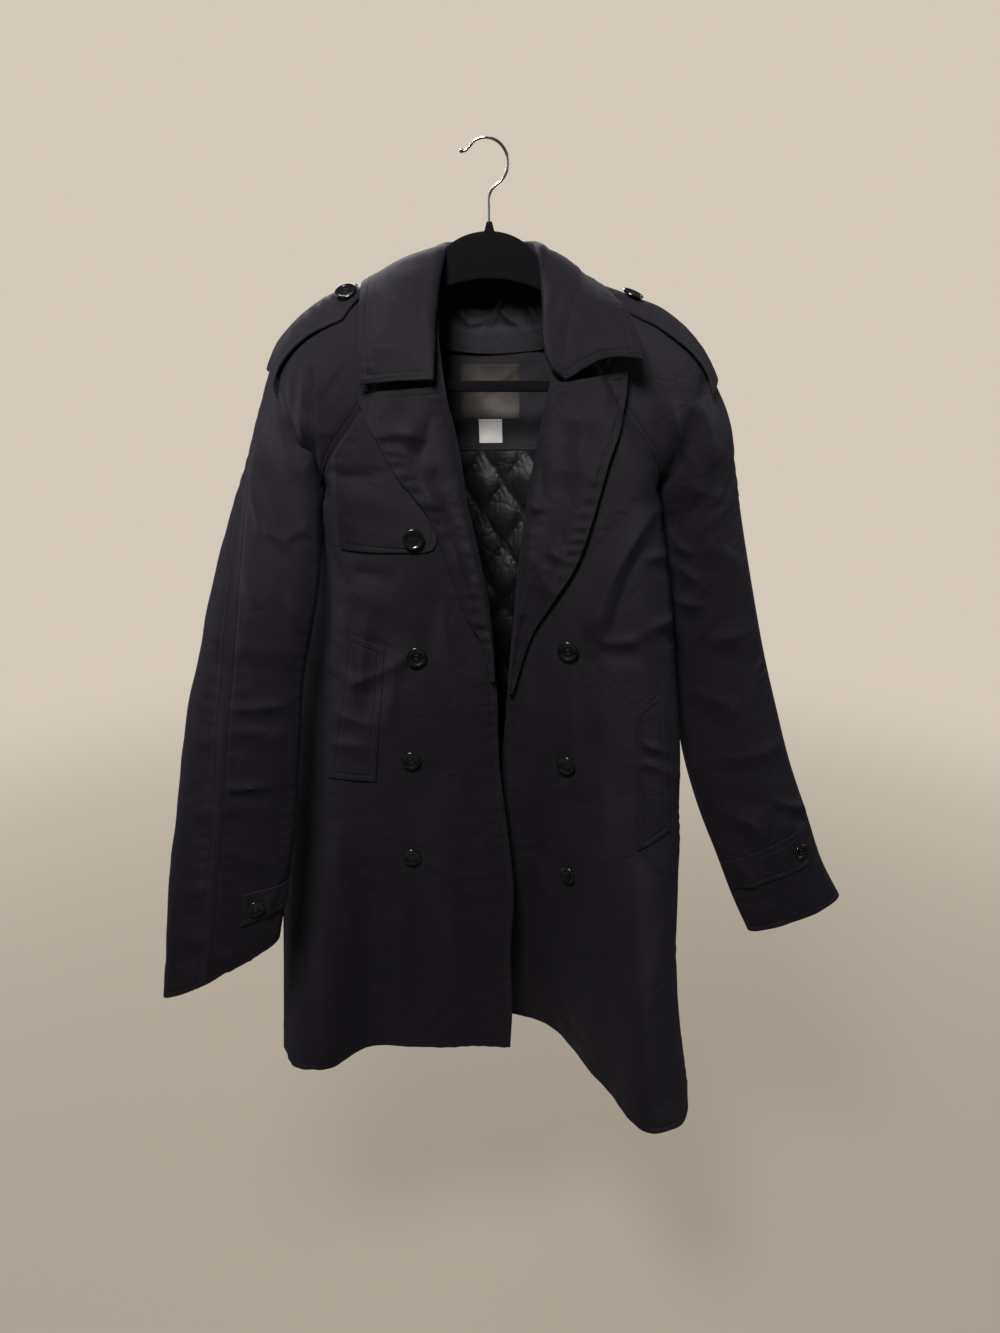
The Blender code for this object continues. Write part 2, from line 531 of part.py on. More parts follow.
def front_at(side, z, x):
    """The point of a front at (x, z), and the way out there."""
    rows = front_rows(side)
    lean_x, lean_z = lean(rows, z, x)
    out = np.array([lean_x, -1.0, lean_z])
    return np.array([x, depth_on(rows, z, x), z]), out / np.linalg.norm(out)


# ---- sleeves ----------------------------------------------------------------------------

def sleeve_table(side):
    return LEFT_SLEEVE if side == "left" else RIGHT_SLEEVE


def sleeve_seam_points(side, z):
    """The inner ends of the front and back halves at one station."""
    row = sleeve_table(side).at(z)
    body = (LEFT_SIDE if side == "left" else RIGHT_SIDE).at(z)
    if z >= UNDERARM_Z - 1e-6:
        back_y = RAGLAN_BACK.at(z)["y"]
        return np.array([body["x"], body["y"], z]), np.array([body["x"], back_y, z])
    point = np.array([row["in_x"], row["in_y"], z])
    return point, point.copy()


@functools.lru_cache(maxsize=None)
def sleeve_halves(side, z):
    """Dense curves of the two halves at one station, each from its inner seam outwards."""
    table = sleeve_table(side)
    row = table.at(z)
    front_in, back_in = sleeve_seam_points(side, z)
    outer = np.array([row["out_x"], row["out_y"], row["out_z"]])
    middle_in = (front_in + back_in) / 2

    def middle(station):
        here = table.at(station)
        first, second = sleeve_seam_points(side, station)
        return ((first + second) / 2 + np.array([here["out_x"], here["out_y"], here["out_z"]])) / 2

    axis = middle(max(z - 0.012, table.station[0])) - middle(min(z + 0.012, table.station[-1]))
    forward = np.cross(axis, outer - middle_in)
    forward /= np.linalg.norm(forward)
    if forward[1] > 0:
        forward = -forward

    def swell(s):
        """Half depth along the flat width: an open arch on the shoulder, an ellipse on the arm."""
        arch = 2.0 * s * np.sqrt(np.clip(1.0 - s * s, 0.0, 1.0))
        oval = np.sqrt(np.clip(1.0 - (2.0 * s - 1.0) ** 2, 0.0, 1.0))
        return arch * (1.0 - row["round"]) + oval * row["round"]

    def face(start, depth, stop):
        s = (1.0 - np.cos(np.linspace(0.0, math.acos(1.0 - 2.0 * stop), 90))) / 2.0
        return start + np.outer(s, outer - start) + np.outer(swell(s) * depth, forward)

    whole_front = face(front_in, row["front"], 1.0)
    whole_back = face(back_in, -row["back"], 1.0)
    seam = lengths(whole_front)[-1] * row["seam"]
    front = walk(whole_front, np.linspace(0.0, seam, 90))
    rest = walk(whole_front, np.linspace(seam, lengths(whole_front)[-1], 30))
    if row["seam"] > 0.995:
        return front, whole_back
    return front, np.concatenate([whole_back, rest[::-1][1:]])


def sleeve_stations(side):
    cap = list(np.linspace(NECK_Z, UNDERARM_Z, CAP_ROWS))
    cuff = sleeve_table(side).station[0]
    return cap + list(np.linspace(UNDERARM_Z, cuff, SLEEVE_ROWS + 1))[1:]


def two_lengths(panel, row, upper_name):
    """A panel cut across at one row: the length above it, and the rest, a thin gap apart."""
    upper = Panel(upper_name, panel.grid[:row + 1], (0, 1, 0))
    upper.out = panel.out[:row + 1]
    panel.grid, panel.out = panel.grid[row:].copy(), panel.out[row:].copy()
    step = panel.grid[1] - panel.grid[0]
    panel.grid[0] += step * (CUT_GAP / np.linalg.norm(step, axis=1, keepdims=True))
    return upper, panel


def build_body_and_sleeves():
    """Fronts, back and sleeve halves, with one way out along each seam that they share."""
    fronts = {}
    for side in ("left", "right"):
        fronts[side] = Panel(side + "_front", front_rows(side), (0, -1, 0))
    back = Panel("back", back_rows(), (0, 1, 0))

    sleeves = {}
    for side in ("left", "right"):
        halves = [sleeve_halves(side, z) for z in sleeve_stations(side)]
        front = [even(half[0], SLEEVE_COLUMNS) for half in halves]
        rear = [even(half[1], SLEEVE_COLUMNS + 2) for half in halves]
        sleeves[side] = (Panel(side + "_sleeve_front", front, (0, -1, 0)),
                         Panel(side + "_sleeve_back", rear, (0, 1, 0)))

    cap = slice(0, CAP_ROWS - 1)
    underarm = CAP_ROWS - 1
    below = slice(CAP_ROWS, None)
    for side, back_column in (("left", 0), ("right", -1)):
        front = fronts[side]
        sleeve_front, sleeve_back = sleeves[side]
        share_rims((front, cap, -1), (sleeve_front, cap, 0))
        share_rims((back, cap, back_column), (sleeve_back, cap, 0))
        share_rims((front, below, -1), (back, below, back_column))
        share_rims((sleeve_front, below, 0), (sleeve_back, below, 0))
        share_rims((sleeve_front, slice(None), -1), (sleeve_back, slice(None), -1))
        for panel, column in ((front, -1), (back, back_column), (sleeve_front, 0), (sleeve_back, 0)):
            panel.out[underarm, column] = (0.0, 0.0, -1.0)
    right_front, right_back = sleeves["right"]
    lengths_of_back = two_lengths(right_back, CAP_ROWS, "right_sleeve_cap_back")
    for panel in [*fronts.values(), back, *sleeves["left"], right_front, *lengths_of_back]:
        panel.build()


# ---- what lies on the fronts ------------------------------------------------------------

def keep_clear(side, under, clearance):
    """Move the points of a lying grid forward until its facets clear the front below them."""
    shares = np.linspace(0.0, 1.0, 7)
    for _ in range(3):
        for i in range(under.shape[0] - 1):
            for j in range(under.shape[1] - 1):
                need = 0.0
                for v in shares:
                    start = under[i, j] * (1 - v) + under[i + 1, j] * v
                    stop = under[i, j + 1] * (1 - v) + under[i + 1, j + 1] * v
                    for u in shares:
                        x, y, z = start * (1 - u) + stop * u
                        need = max(need, y - depth_on(front_rows(side), z, x) + clearance(x, z))
                under[i:i + 2, j:j + 2, 1] -= need
    return under


def build_lapel(side):
    """The turned-back edge: it stands out at the roll line and lies down to its free edge."""
    table = LEFT_LAPEL if side == "left" else RIGHT_LAPEL
    inner = np.zeros((LAPEL_ROWS, len(LAPEL_SHARES), 3))
    for i, station in enumerate(np.linspace(0, table.station[-1], LAPEL_ROWS)):
        row = table.at(station)
        narrow = min(1.0, abs(row["free_x"] - row["roll_x"]) / 0.03)
        for j, u in enumerate(LAPEL_SHARES):
            x = row["roll_x"] + (row["free_x"] - row["roll_x"]) * u
            z = row["roll_z"] + (row["free_z"] - row["roll_z"]) * u
            roll = (ROLL_LIFT - LAPEL_LIFT) * narrow * math.exp(-((u - 0.16) / 0.2) ** 2)
            rise = LIE + (LAPEL_LIFT + roll - LIE) * min(1.0, u / LAPEL_SHARES[1])
            inner[i, j] = (x, depth_on(front_rows(side), z, x) - rise, z)

    def clearance(x, z):
        on_flap = side == "left" and z < FLAP["top_z"] + 0.003 and x < FLAP["inner_x"] + 0.003
        return OVER_FLAP if on_flap else RIM

    inner = keep_clear(side, inner, clearance)
    outer = inner - np.array([0.0, DOUBLE, 0.0])
    wall(side + "_lapel", outer, inner, "coat_cloth")


def build_lying(name, side, low):
    """A single layer lying on a front, from the points of its under side."""
    low = keep_clear(side, low, lambda x, z: LIE + RIM)
    out = normals_of(low, (0, -1, 0))
    wall(name, low + out * CLOTH, low, "coat_cloth")


def build_welt(side):
    corners = LEFT_WELT if side == "left" else RIGHT_WELT
    (top_a, top_b), (foot_a, foot_b) = np.array(corners["top"]), np.array(corners["foot"])
    rows, columns = 12, 5
    low = np.zeros((rows, columns, 3))
    for i, v in enumerate(np.linspace(0.0, 1.0, rows)):
        for j, u in enumerate(np.linspace(0.0, 1.0, columns)):
            x, z = (top_a * (1 - u) + top_b * u) * (1 - v) + (foot_a * (1 - u) + foot_b * u) * v
            point, out = front_at(side, z, x)
            low[i, j] = point + out * LIE
    build_lying(side + "_pocket_welt", side, low)


def build_flap():
    """Storm flap: from the raglan seam to under the lapel, with a rounded lower corner."""
    rows, columns = 9, 11
    low = np.zeros((rows, columns, 3))
    for i, z in enumerate(np.linspace(FLAP["top_z"], FLAP["foot_z"], rows)):
        start = max(LEFT_SIDE.at(z)["x"] + FLAP["seam_gap"], FLAP["outer_x"])
        drop = max(0.0, FLAP["corner"] - (z - FLAP["foot_z"]))
        stop = FLAP["inner_x"] - (FLAP["corner"] - math.sqrt(FLAP["corner"] ** 2 - drop ** 2))
        for j, x in enumerate(np.linspace(start, stop, columns)):
            point, out = front_at("left", z, x)
            low[i, j] = point + out * LIE
    build_lying("storm_flap", "left", low)


def build_button(name, place, out, radius=BUTTON_R):
    """A turned button with a raised rim and a dished middle, its back towards the cloth."""
    profile = [(0.0, 0.0), (0.62, 0.0), (0.90, 0.28), (1.0, 0.62), (0.95, 0.92), (0.82, 1.0),
               (0.66, 0.82), (0.0, 0.60)]
    out = Vector(out).normalized()
    turn = Vector((0, 0, 1)).rotation_difference(out).to_matrix()
    points = [turn @ Vector((0, 0, 0)) + Vector(place)]
    for share, height in profile[1:-1]:
        for k in range(BUTTON_SIDES):
            angle = 2 * math.pi * k / BUTTON_SIDES
            local = Vector((math.cos(angle) * share * radius, math.sin(angle) * share * radius,
                            height * BUTTON_THICK))
            points.append(turn @ local + Vector(place))
    points.append(turn @ Vector((0, 0, profile[-1][1] * BUTTON_THICK)) + Vector(place))
    rings = len(profile) - 2
    faces = []
    for k in range(BUTTON_SIDES):
        after = (k + 1) % BUTTON_SIDES
        faces.append([0, 1 + after, 1 + k])
        for ring in range(rings - 1):
            low = 1 + ring * BUTTON_SIDES
            high = low + BUTTON_SIDES
            faces.append([low + k, low + after, high + after, high + k])
        last = 1 + (rings - 1) * BUTTON_SIDES
        faces.append([last + k, last + after, len(points) - 1])
    return add_mesh(name, points, faces, "button_gloss")


def build_front_buttons():
    for side, places in (("left", LEFT_BUTTONS), ("right", RIGHT_BUTTONS)):
        for number, (x, z) in enumerate(places, 1):
            point, out = front_at(side, z, x)
            build_button("%s_button_%d" % (side, number), point + out * BUTTON_LIFT, out)
    point, out = front_at("left", FLAP_BUTTON[1], FLAP_BUTTON[0])
    build_button("flap_button", point + out * FLAP_BUTTON_LIFT, out)


# ---- what lies on the sleeves -----------------------------------------------------------

def build_epaulette(side):
    """A strap over the shoulder line, pointed at the neck, with its button."""
    rows, columns = 11, 8
    own = LEFT_STRAP if side == "left" else RIGHT_STRAP
    stations = np.linspace(own["first"], EPAULETTE["last"], rows)
    ahead = np.linspace(*own["front"], rows)
    grid = np.zeros((rows, columns, 3))
    for i, z in enumerate(stations):
        front, back = sleeve_halves(side, z)
        over = np.concatenate([front, back[::-1][1:]])
        ridge = lengths(front)[-1]
        middle = (EPAULETTE["behind"] - ahead[i]) / 2
        half = (EPAULETTE["behind"] + ahead[i]) / 2
        half *= min(1.0, EPAULETTE["point"] + (1.0 - EPAULETTE["point"]) * i / 2)
        grid[i] = walk(over, ridge + np.linspace(middle - half, middle + half, columns))
    strap = Panel(side + "_epaulette", grid, (0, -0.5, 1), DOUBLE)
    strap.grid = strap.lifted(LIE + RIM + DOUBLE)
    strap.build()
    along, j = own["button"]
    i = int(round(along * (rows - 1)))
    place = strap.grid[i, j] + strap.out[i, j] * LIE
    build_button(side + "_epaulette_button", place, strap.out[i, j])


def build_cuff_tab(side):
    tab = LEFT_TAB if side == "left" else RIGHT_TAB
    rows, columns = 5, 9
    grid = np.zeros((rows, columns, 3))
    for i, z in enumerate(np.linspace(tab["first"], tab["last"], rows)):
        front, _ = sleeve_halves(side, z)
        row = sleeve_table(side).at(z)
        total = lengths(front)[-1] / row["seam"]
        grid[i] = walk(front, np.linspace(tab["start"], tab["stop"], columns) * total)
    strap = Panel(side + "_cuff_tab", grid, (0, -1, 0), CLOTH)
    strap.grid = strap.lifted(LIE + CLOTH)
    strap.build()
    share = (tab["button"] - tab["start"]) / (tab["stop"] - tab["start"])
    j = int(round(share * (columns - 1)))
    i = rows // 2
    place = strap.grid[i, j] + strap.out[i, j] * LIE
    build_button(side + "_cuff_button", place, strap.out[i, j], SMALL_BUTTON_R)


# ---- collar and neck --------------------------------------------------------------------

def build_collar():
    """The fall of the collar: from the fold it lies outwards and down to its edge."""
    grid = np.zeros((COLLAR_ROWS, COLLAR_COLUMNS, 3))
    for i, station in enumerate(np.linspace(-7, 7, COLLAR_ROWS)):
        row = COLLAR.at(station)
        fold = np.array([row["fold_x"], row["fold_y"], row["fold_z"]])
        edge = np.array([row["edge_x"], row["edge_y"], row["edge_z"]])
        out = np.array([0.0, -0.75, 0.5]) if abs(station) > 3.5 else np.array([0.0, 0.0, 1.0])
        if abs(station) < 1.5:
            out = np.array([0.0, 0.7, 0.7])
        for j, u in enumerate(np.linspace(0.0, 1.0, COLLAR_COLUMNS)):
            rise = row["crown"] * math.sin(math.pi * min(1.0, u + 0.12)) ** 0.8
            grid[i, j] = fold + (edge - fold) * u + out * rise
    collar = Panel("collar", grid, (0, -0.3, 1), DOUBLE)
    collar.build()
    return collar


def build_stand(collar):
    """Neck stand: hangs inside the neck from the collar's fold, behind the hanger."""
    columns = 4
    reach = STAND_FOOT.station[-1]
    stations = np.linspace(-7, 7, COLLAR_ROWS)
    under_fold = collar.grid[:, 0] - collar.out[:, 0] * (DOUBLE + SEAM) - np.array([0, 0, STAND_DROP])
    grid = np.zeros((STAND_ROWS, columns, 3))
    for i, station in enumerate(np.linspace(-reach, reach, STAND_ROWS)):
        row = STAND_FOOT.at(station)
        foot = np.array([row["x"], row["y"], row["z"]])
        top = np.array([np.interp(station, stations, under_fold[:, axis]) for axis in range(3)])
        for j, u in enumerate(np.linspace(0.0, 1.0, columns)):
            grid[i, j] = top + (foot - top) * np.array([u, u ** 1.5, u])
    Panel("collar_stand", grid, (0, -1, 0), INSIDE).build()


def inside_back(z, x, depth):
    """A point inside the back at (x, z), a depth in from its outer face."""
    lean_x, lean_z = lean(back_rows(), z, x)
    return np.array([x, depth_on(back_rows(), z, x) - depth * math.hypot(1.0, lean_x, lean_z), z])


def build_back_layer(name, z_top, z_foot, reach, rows, columns, depth, thick, finish, raised=None):
    """A flat layer inside the back, from z_top down to z_foot, its face towards the front."""
    outer = np.zeros((rows, columns, 3))
    inner = np.zeros_like(outer)
    for i, z in enumerate(np.linspace(z_top, z_foot, rows)):
        left, right = reach(z)
        for j, x in enumerate(np.linspace(left, right, columns)):
            inner[i, j] = inside_back(z, x, depth)
            puff = raised(i, j) if raised else 0.0
            outer[i, j] = inner[i, j] + np.array([0.0, -(thick + puff), 0.0])
    return wall(name, outer, inner, finish)


def build_inside():
    """Back-neck facing, quilted lining below it, the label and the size tab."""
    build_back_layer("back_neck_facing", FACING_TOP, FACING_FOOT, lambda z: FACING_REACH,
                     5, 9, FACING_DEPTH, INSIDE, "coat_cloth")

    lining_foot = LINING_TOP - (LINING_ROWS - 1) * DIAMOND_H / 2
    half = (LINING_COLUMNS - 1) * DIAMOND_W / 4

    def puffed(i, j):
        """Crossings of the stitched lines lie low; the middles of the diamonds stand out."""
        return PUFF if (i + j) % 2 else 0.0

    build_back_layer("quilted_lining", LINING_TOP, lining_foot,
                     lambda z: (BACK_MIDDLE - half, BACK_MIDDLE + half), LINING_ROWS, LINING_COLUMNS,
                     LINING_DEPTH, INSIDE, "quilted_satin", puffed)

    label_depth = FACING_DEPTH + INSIDE + LIE
    build_back_layer("neck_label", LABEL["top"], LABEL["foot"], lambda z: LABEL["reach"], 4, 5,
                     label_depth, LABEL["thick"], "label_satin")

    def tab_reach(z):
        """The tab hangs a little turned."""
        shift = SIZE_TAB["lean"] * (z - SIZE_TAB["top"])
        return [x - shift for x in SIZE_TAB["reach"]]

    build_back_layer("size_tab", SIZE_TAB["top"], SIZE_TAB["foot"], tab_reach, 3, 3,
                     label_depth, SIZE_TAB["thick"], "white_tab")


# ---- hanger -----------------------------------------------------------------------------

def ridge_z(side, x):
    """Height of the sleeve's shoulder line at x."""
    table = sleeve_table(side)
    rows = [table.at(z) for z in np.linspace(NECK_Z, UNDERARM_Z, CAP_ROWS)]
    xs = np.array([abs(row["out_x"]) for row in rows])
    zs = np.array([row["out_z"] for row in rows])
    return float(np.interp(abs(x), xs, zs))


def arm_top(x):
    """Upper edge of the hanger's arms, just under the shoulders of the coat."""
    side = "left" if x < 0 else "right"
    step = 0.004
    fall = (ridge_z(side, x + HANGER_CENTRE + step) - ridge_z(side, x + HANGER_CENTRE - step)) / (2 * step)
    near_neck = min(1.0, max(0.0, (0.085 - abs(x)) / 0.020))
    return ridge_z(side, x + HANGER_CENTRE) - UNDER_COAT * math.hypot(1.0, fall) - NECK_DROP * near_neck


def arm_foot(x):
    taper = 1.0 - 0.25 * max(0.0, abs(x) - 0.12) / (ARM_END - 0.12)
    return arm_top(x) - ARM_TALL * taper


def plate(name, top, foot, finish):
    """An upright flat plate between an upper and a lower edge with the same number of points."""
    half = HANGER_THICK / 2
    outline = top + foot[::-1]
    count = len(outline)
    points = [(x + HANGER_CENTRE, y, z) for y in (-half, half) for x, z in outline]
    faces = []
    for k in range(len(top) - 1):
        mate, mate_after = count - 1 - k, count - 2 - k
        faces.append([k, k + 1, mate_after, mate])
        faces.append([count + mate, count + mate_after, count + k + 1, count + k])
    for k in range(count):
        after = (k + 1) % count
        faces.append([k, after, count + after, count + k])
    return add_mesh(name, points, faces, finish)


def build_hanger_body():
    """The flat body: a domed middle and two arms that run out under the shoulders."""
    arm = list(np.linspace(DOME_HALF, ARM_END, 12))
    dome = [DOME_HALF * math.sin(math.radians(angle)) for angle in range(-80, 81, 16)]
    dome = [x for x in dome if abs(x) > NIB_HALF + 0.001]
    nib = [-NIB_HALF, -NIB_TIP_HALF, NIB_TIP_HALF, NIB_HALF]
    places = sorted([-x for x in arm] + dome + nib + arm)
    top, foot = [], []
    for x in places:
        if abs(x) >= DOME_HALF:
            top.append((x, arm_top(x)))
        elif abs(x) <= NIB_TIP_HALF:
            top.append((x, NIB_TOP))
        else:
            edge = arm_top(math.copysign(DOME_HALF, x))
            top.append((x, edge + (DOME_TOP - edge) * math.sqrt(1.0 - (x / DOME_HALF) ** 2)))
        inner_foot = DOME_FOOT - DOME_FOOT_DROP * min(1.0, abs(x) / DOME_HALF) ** 2
        blend = min(1.0, max(0.0, (abs(x) - DOME_HALF) / 0.02))
        foot.append((x, inner_foot * (1.0 - blend) + arm_foot(x) * blend))
    plate("hanger_body", top, foot, "hanger_velvet")


def build_hanger_bar():
    """The lower bar, turned up at both ends to meet the arms."""
    low, high = BAR_Z - BAR_TALL / 2, BAR_Z + BAR_TALL / 2
    top, foot = [], []
    for sign in (-1, 1):
        outer, inner, bend = (sign * (ARM_END - inwards) for inwards in BAR_ENDS)
        upper = [(outer, arm_foot(outer) - BAR_GAP), (inner, arm_foot(inner) - BAR_GAP), (bend, high)]
        lower = [(outer, arm_foot(outer) - BAR_TALL), (inner, low + BAR_TALL / 3), (bend, low)]
        top += upper if sign < 0 else upper[::-1]
        foot += lower if sign < 0 else lower[::-1]
    plate("hanger_bar", top, foot, "hanger_velvet")


def hook_path():
    """Stem, bend and open tip; the underside of the bend's crown is the origin."""
    middle_z = WIRE / 2 - HOOK_R
    bend = []
    for degrees in range(-60, 121, 15):
        angle = math.radians(degrees)
        bend.append((HOOK_X + HOOK_R * math.cos(angle), middle_z + HOOK_R * math.sin(angle)))
    return [Vector((x, 0.0, z)) for x, z in STEM + bend + HOOK_TIP]


def build_hook():
    """Wire hook of the hanger."""
    path = hook_path()
    across = Vector((0, 1, 0))
    points = []
    for k, here in enumerate(path):
        along = (path[min(len(path) - 1, k + 1)] - path[max(0, k - 1)]).normalized()
        up = along.cross(across)
        for s in range(WIRE_SIDES):
            angle = 2 * math.pi * s / WIRE_SIDES
            points.append(here + (across * math.cos(angle) + up * math.sin(angle)) * (WIRE / 2))
    faces = []
    for k in range(len(path) - 1):
        ring, ring_after = k * WIRE_SIDES, (k + 1) * WIRE_SIDES
        for s in range(WIRE_SIDES):
            after = (s + 1) % WIRE_SIDES
            faces.append([ring + s, ring + after, ring_after + after, ring_after + s])
    faces.append(list(range(WIRE_SIDES))[::-1])
    faces.append([ring_after + s for s in range(WIRE_SIDES)])
    add_mesh("hanger_hook", points, faces, "chrome_wire")


def main():
    clear_scene()
    build_body_and_sleeves()
    build_stand(build_collar())
    for side in ("left", "right"):
        build_lapel(side)
        build_welt(side)
        build_epaulette(side)
        build_cuff_tab(side)
    build_flap()
    build_front_buttons()
    build_inside()
    build_hanger_body()
    build_hanger_bar()
    build_hook()


main()
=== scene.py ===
"""Looks of a double-breasted trench coat, worn open, on a slim flocked hanger.

Metres, +Z up, -Y out of the coat's front. "left" and "right" are the viewer's. The cloth follows
the same sections as the solids, on finer grids, with its creases laid in from tables.
"""
import functools
import math

import bmesh
import bpy
import numpy as np
from mathutils import Matrix, Vector


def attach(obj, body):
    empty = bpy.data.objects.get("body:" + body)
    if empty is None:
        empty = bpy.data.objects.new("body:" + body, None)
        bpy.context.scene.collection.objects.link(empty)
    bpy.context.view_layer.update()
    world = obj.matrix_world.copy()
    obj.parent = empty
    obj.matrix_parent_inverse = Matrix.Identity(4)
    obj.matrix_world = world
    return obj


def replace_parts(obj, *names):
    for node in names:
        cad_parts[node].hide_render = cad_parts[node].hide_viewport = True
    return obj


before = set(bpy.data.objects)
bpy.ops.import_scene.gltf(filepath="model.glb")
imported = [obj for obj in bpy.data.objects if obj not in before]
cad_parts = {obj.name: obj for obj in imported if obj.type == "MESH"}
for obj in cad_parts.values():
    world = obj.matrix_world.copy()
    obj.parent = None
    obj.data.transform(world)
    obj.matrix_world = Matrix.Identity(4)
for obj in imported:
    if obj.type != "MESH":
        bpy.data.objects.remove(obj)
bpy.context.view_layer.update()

CLOTH = 0.0013            # outer cloth
DOUBLE = 0.0022           # two layers with interlining
INSIDE = 0.0010           # facing, neck stand and lining
LIE = 0.0008              # clear space under a piece that lies on another
STRAP_SPACE = 0.0006      # more of it under the storm flap and the epaulettes
RIM_BULGE = 0.8           # how far a rim is rounded out, as a share of half its thickness
CREASE_RISE = 1.6         # how much higher the creases stand than their tables say
SHARP_TURN, BUTTON_TURN = math.radians(50), math.radians(35)   # edges above these stay sharp
NECK_Z, UNDERARM_Z, HEM_Z = -0.122, -0.315, -1.0
# Rows from the neck to the underarm, and from there to the hem or the cuff; columns across
CAP_ROWS, BODY_ROWS, SLEEVE_ROWS = 62, 198, 150
FRONT_COLUMNS, BACK_COLUMNS, SLEEVE_COLUMNS = 84, 110, 56

# ---- the photograph's camera --------------------------------------------------------------
LENS_PX = 952.0           # focal length in pixels of the 1000 x 1333 frame
FRAME_W, FRAME_H = 1000, 1333
PITCH = math.radians(21.5)
EYE = np.array([0.011, -0.98, -0.129])
FORWARD = np.array([0.0, math.cos(PITCH), -math.sin(PITCH)])
UPWARD = np.array([0.0, math.sin(PITCH), math.cos(PITCH)])


def in_frame(points):
    """Where points fall in the 1000 x 1333 frame."""
    away = np.asarray(points) - EYE
    depth = away @ FORWARD
    return np.stack([FRAME_W / 2 + LENS_PX * away[..., 0] / depth,
                     FRAME_H / 2 - LENS_PX * (away @ UPWARD) / depth], axis=-1)


# ---- tables of the cut --------------------------------------------------------------------

def hermite(t, step, first, first_slope, second, second_slope):
    """Between two values with their slopes, at the share t of the step from one to the other."""
    return ((2 * t**3 - 3 * t**2 + 1) * first + (t**3 - 2 * t**2 + t) * step * first_slope
            + (3 * t**2 - 2 * t**3) * second + (t**3 - t**2) * step * second_slope)


class Sections:
    """A table with named columns, read as smooth curves along its first column."""

    def __init__(self, columns, rows):
        data = np.array(rows, float)
        data = data[np.argsort(data[:, 0])]
        self.names = columns.split()[1:]
        self.station = data[:, 0]
        self.value = data[:, 1:]
        self.slope = np.gradient(self.value, self.station, axis=0)

    def at(self, where):
        where = min(max(where, self.station[0]), self.station[-1])
        i = int(np.clip(np.searchsorted(self.station, where) - 1, 0, len(self.station) - 2))
        step = self.station[i + 1] - self.station[i]
        value = hermite((where - self.station[i]) / step, step, self.value[i], self.slope[i],
                        self.value[i + 1], self.slope[i + 1])
        return dict(zip(self.names, value))


# Hanger
HANGER_THICK = 0.005
HANGER_CENTRE = 0.0010    # X of its middle
DOME_TOP = -0.0762
DOME_HALF = 0.050
DOME_FOOT = -0.1180
DOME_FOOT_DROP = 0.0105   # how much lower the dome's foot is at its two ends
NIB_TOP = -0.0680         # small neck that the wire leaves from
NIB_HALF, NIB_TIP_HALF = 0.0052, 0.0020
ARM_END = 0.196
ARM_TALL = 0.021
UNDER_COAT = CLOTH + 0.0015   # from the shoulder line to the arm, square to the shoulder
NECK_DROP = 0.0016        # more room where the arms leave the dome, under the neck seams
BAR_Z = -0.2165
BAR_TALL = 0.011
BAR_GAP = 0.0008
BAR_ENDS = (0.002, 0.013, 0.034)   # in from the arm's end: outer side, inner side, bend
WIRE = 0.0026             # diameter of the hook's wire
HOOK_R = 0.0205           # radius of the hook's bend, at the middle of the wire
HOOK_X = -0.0022          # middle of the bend
STEM = [(0.0008, NIB_TOP - 0.001), (0.0008, -0.0560), (0.0008, -0.0480), (0.0022, -0.0430)]
HOOK_TIP = [(-0.0170, -0.0062), (-0.0215, -0.0096), (-0.0264, -0.0090)]

# Buttons
BUTTON_R = 0.0105
SMALL_BUTTON_R = 0.0090
BUTTON_THICK = 0.0034

# Quilting of the lining: diamonds
DIAMOND_W = 0.045
DIAMOND_H = 0.068
PUFF = 0.0035

# Inside the back: depths in from its outer face, heights and widths
FACING_DEPTH = CLOTH + 0.0006
LINING_DEPTH = CLOTH + 0.0030
FACING_TOP, FACING_FOOT = -0.1855, -0.2860
FACING_REACH = (-0.082, 0.088)
LINING_TOP = -0.2866
LINING_COLUMNS = 11
LINING_ROWS = 21
BACK_MIDDLE = 0.0153      # X of the middle of the lining
LABEL = dict(top=-0.1996, foot=-0.2535, reach=(-0.0292, 0.0311), thick=0.0010)
SIZE_TAB = dict(top=-0.2545, foot=-0.2785, reach=(-0.0112, 0.0128), lean=0.03, thick=0.0008)

# Front edges: the roll line down to the lapel's foot, then the free edge to the hem
EDGE = {"left": Sections("z x y", [
    (-0.122, -0.0465, -0.026), (-0.160, -0.0465, -0.043), (-0.200, -0.0420, -0.056),
    (-0.240, -0.0350, -0.062), (-0.280, -0.0260, -0.065), (-0.330, -0.0195, -0.069),
    (-0.400, -0.0030, -0.073), (-0.460, 0.0040, -0.073), (-0.525, 0.0079, -0.071),
    (-0.600, 0.0100, -0.068), (-0.685, 0.0190, -0.064), (-0.760, 0.0260, -0.060),
    (-0.860, 0.0232, -0.058), (-0.940, 0.0255, -0.056), (-1.000, 0.0234, -0.055)]),
    "right": Sections("z x y", [
    (-0.122, 0.0525, -0.024), (-0.160, 0.0540, -0.043), (-0.195, 0.0600, -0.055),
    (-0.225, 0.0535, -0.061), (-0.270, 0.0450, -0.064), (-0.320, 0.0370, -0.066),
    (-0.400, 0.0280, -0.066), (-0.500, 0.0205, -0.060), (-0.580, 0.0150, -0.050),
    (-0.660, 0.0040, -0.038), (-0.760, -0.0090, -0.023), (-0.880, -0.0190, -0.009),
    (-1.000, -0.0220, 0.002)])}

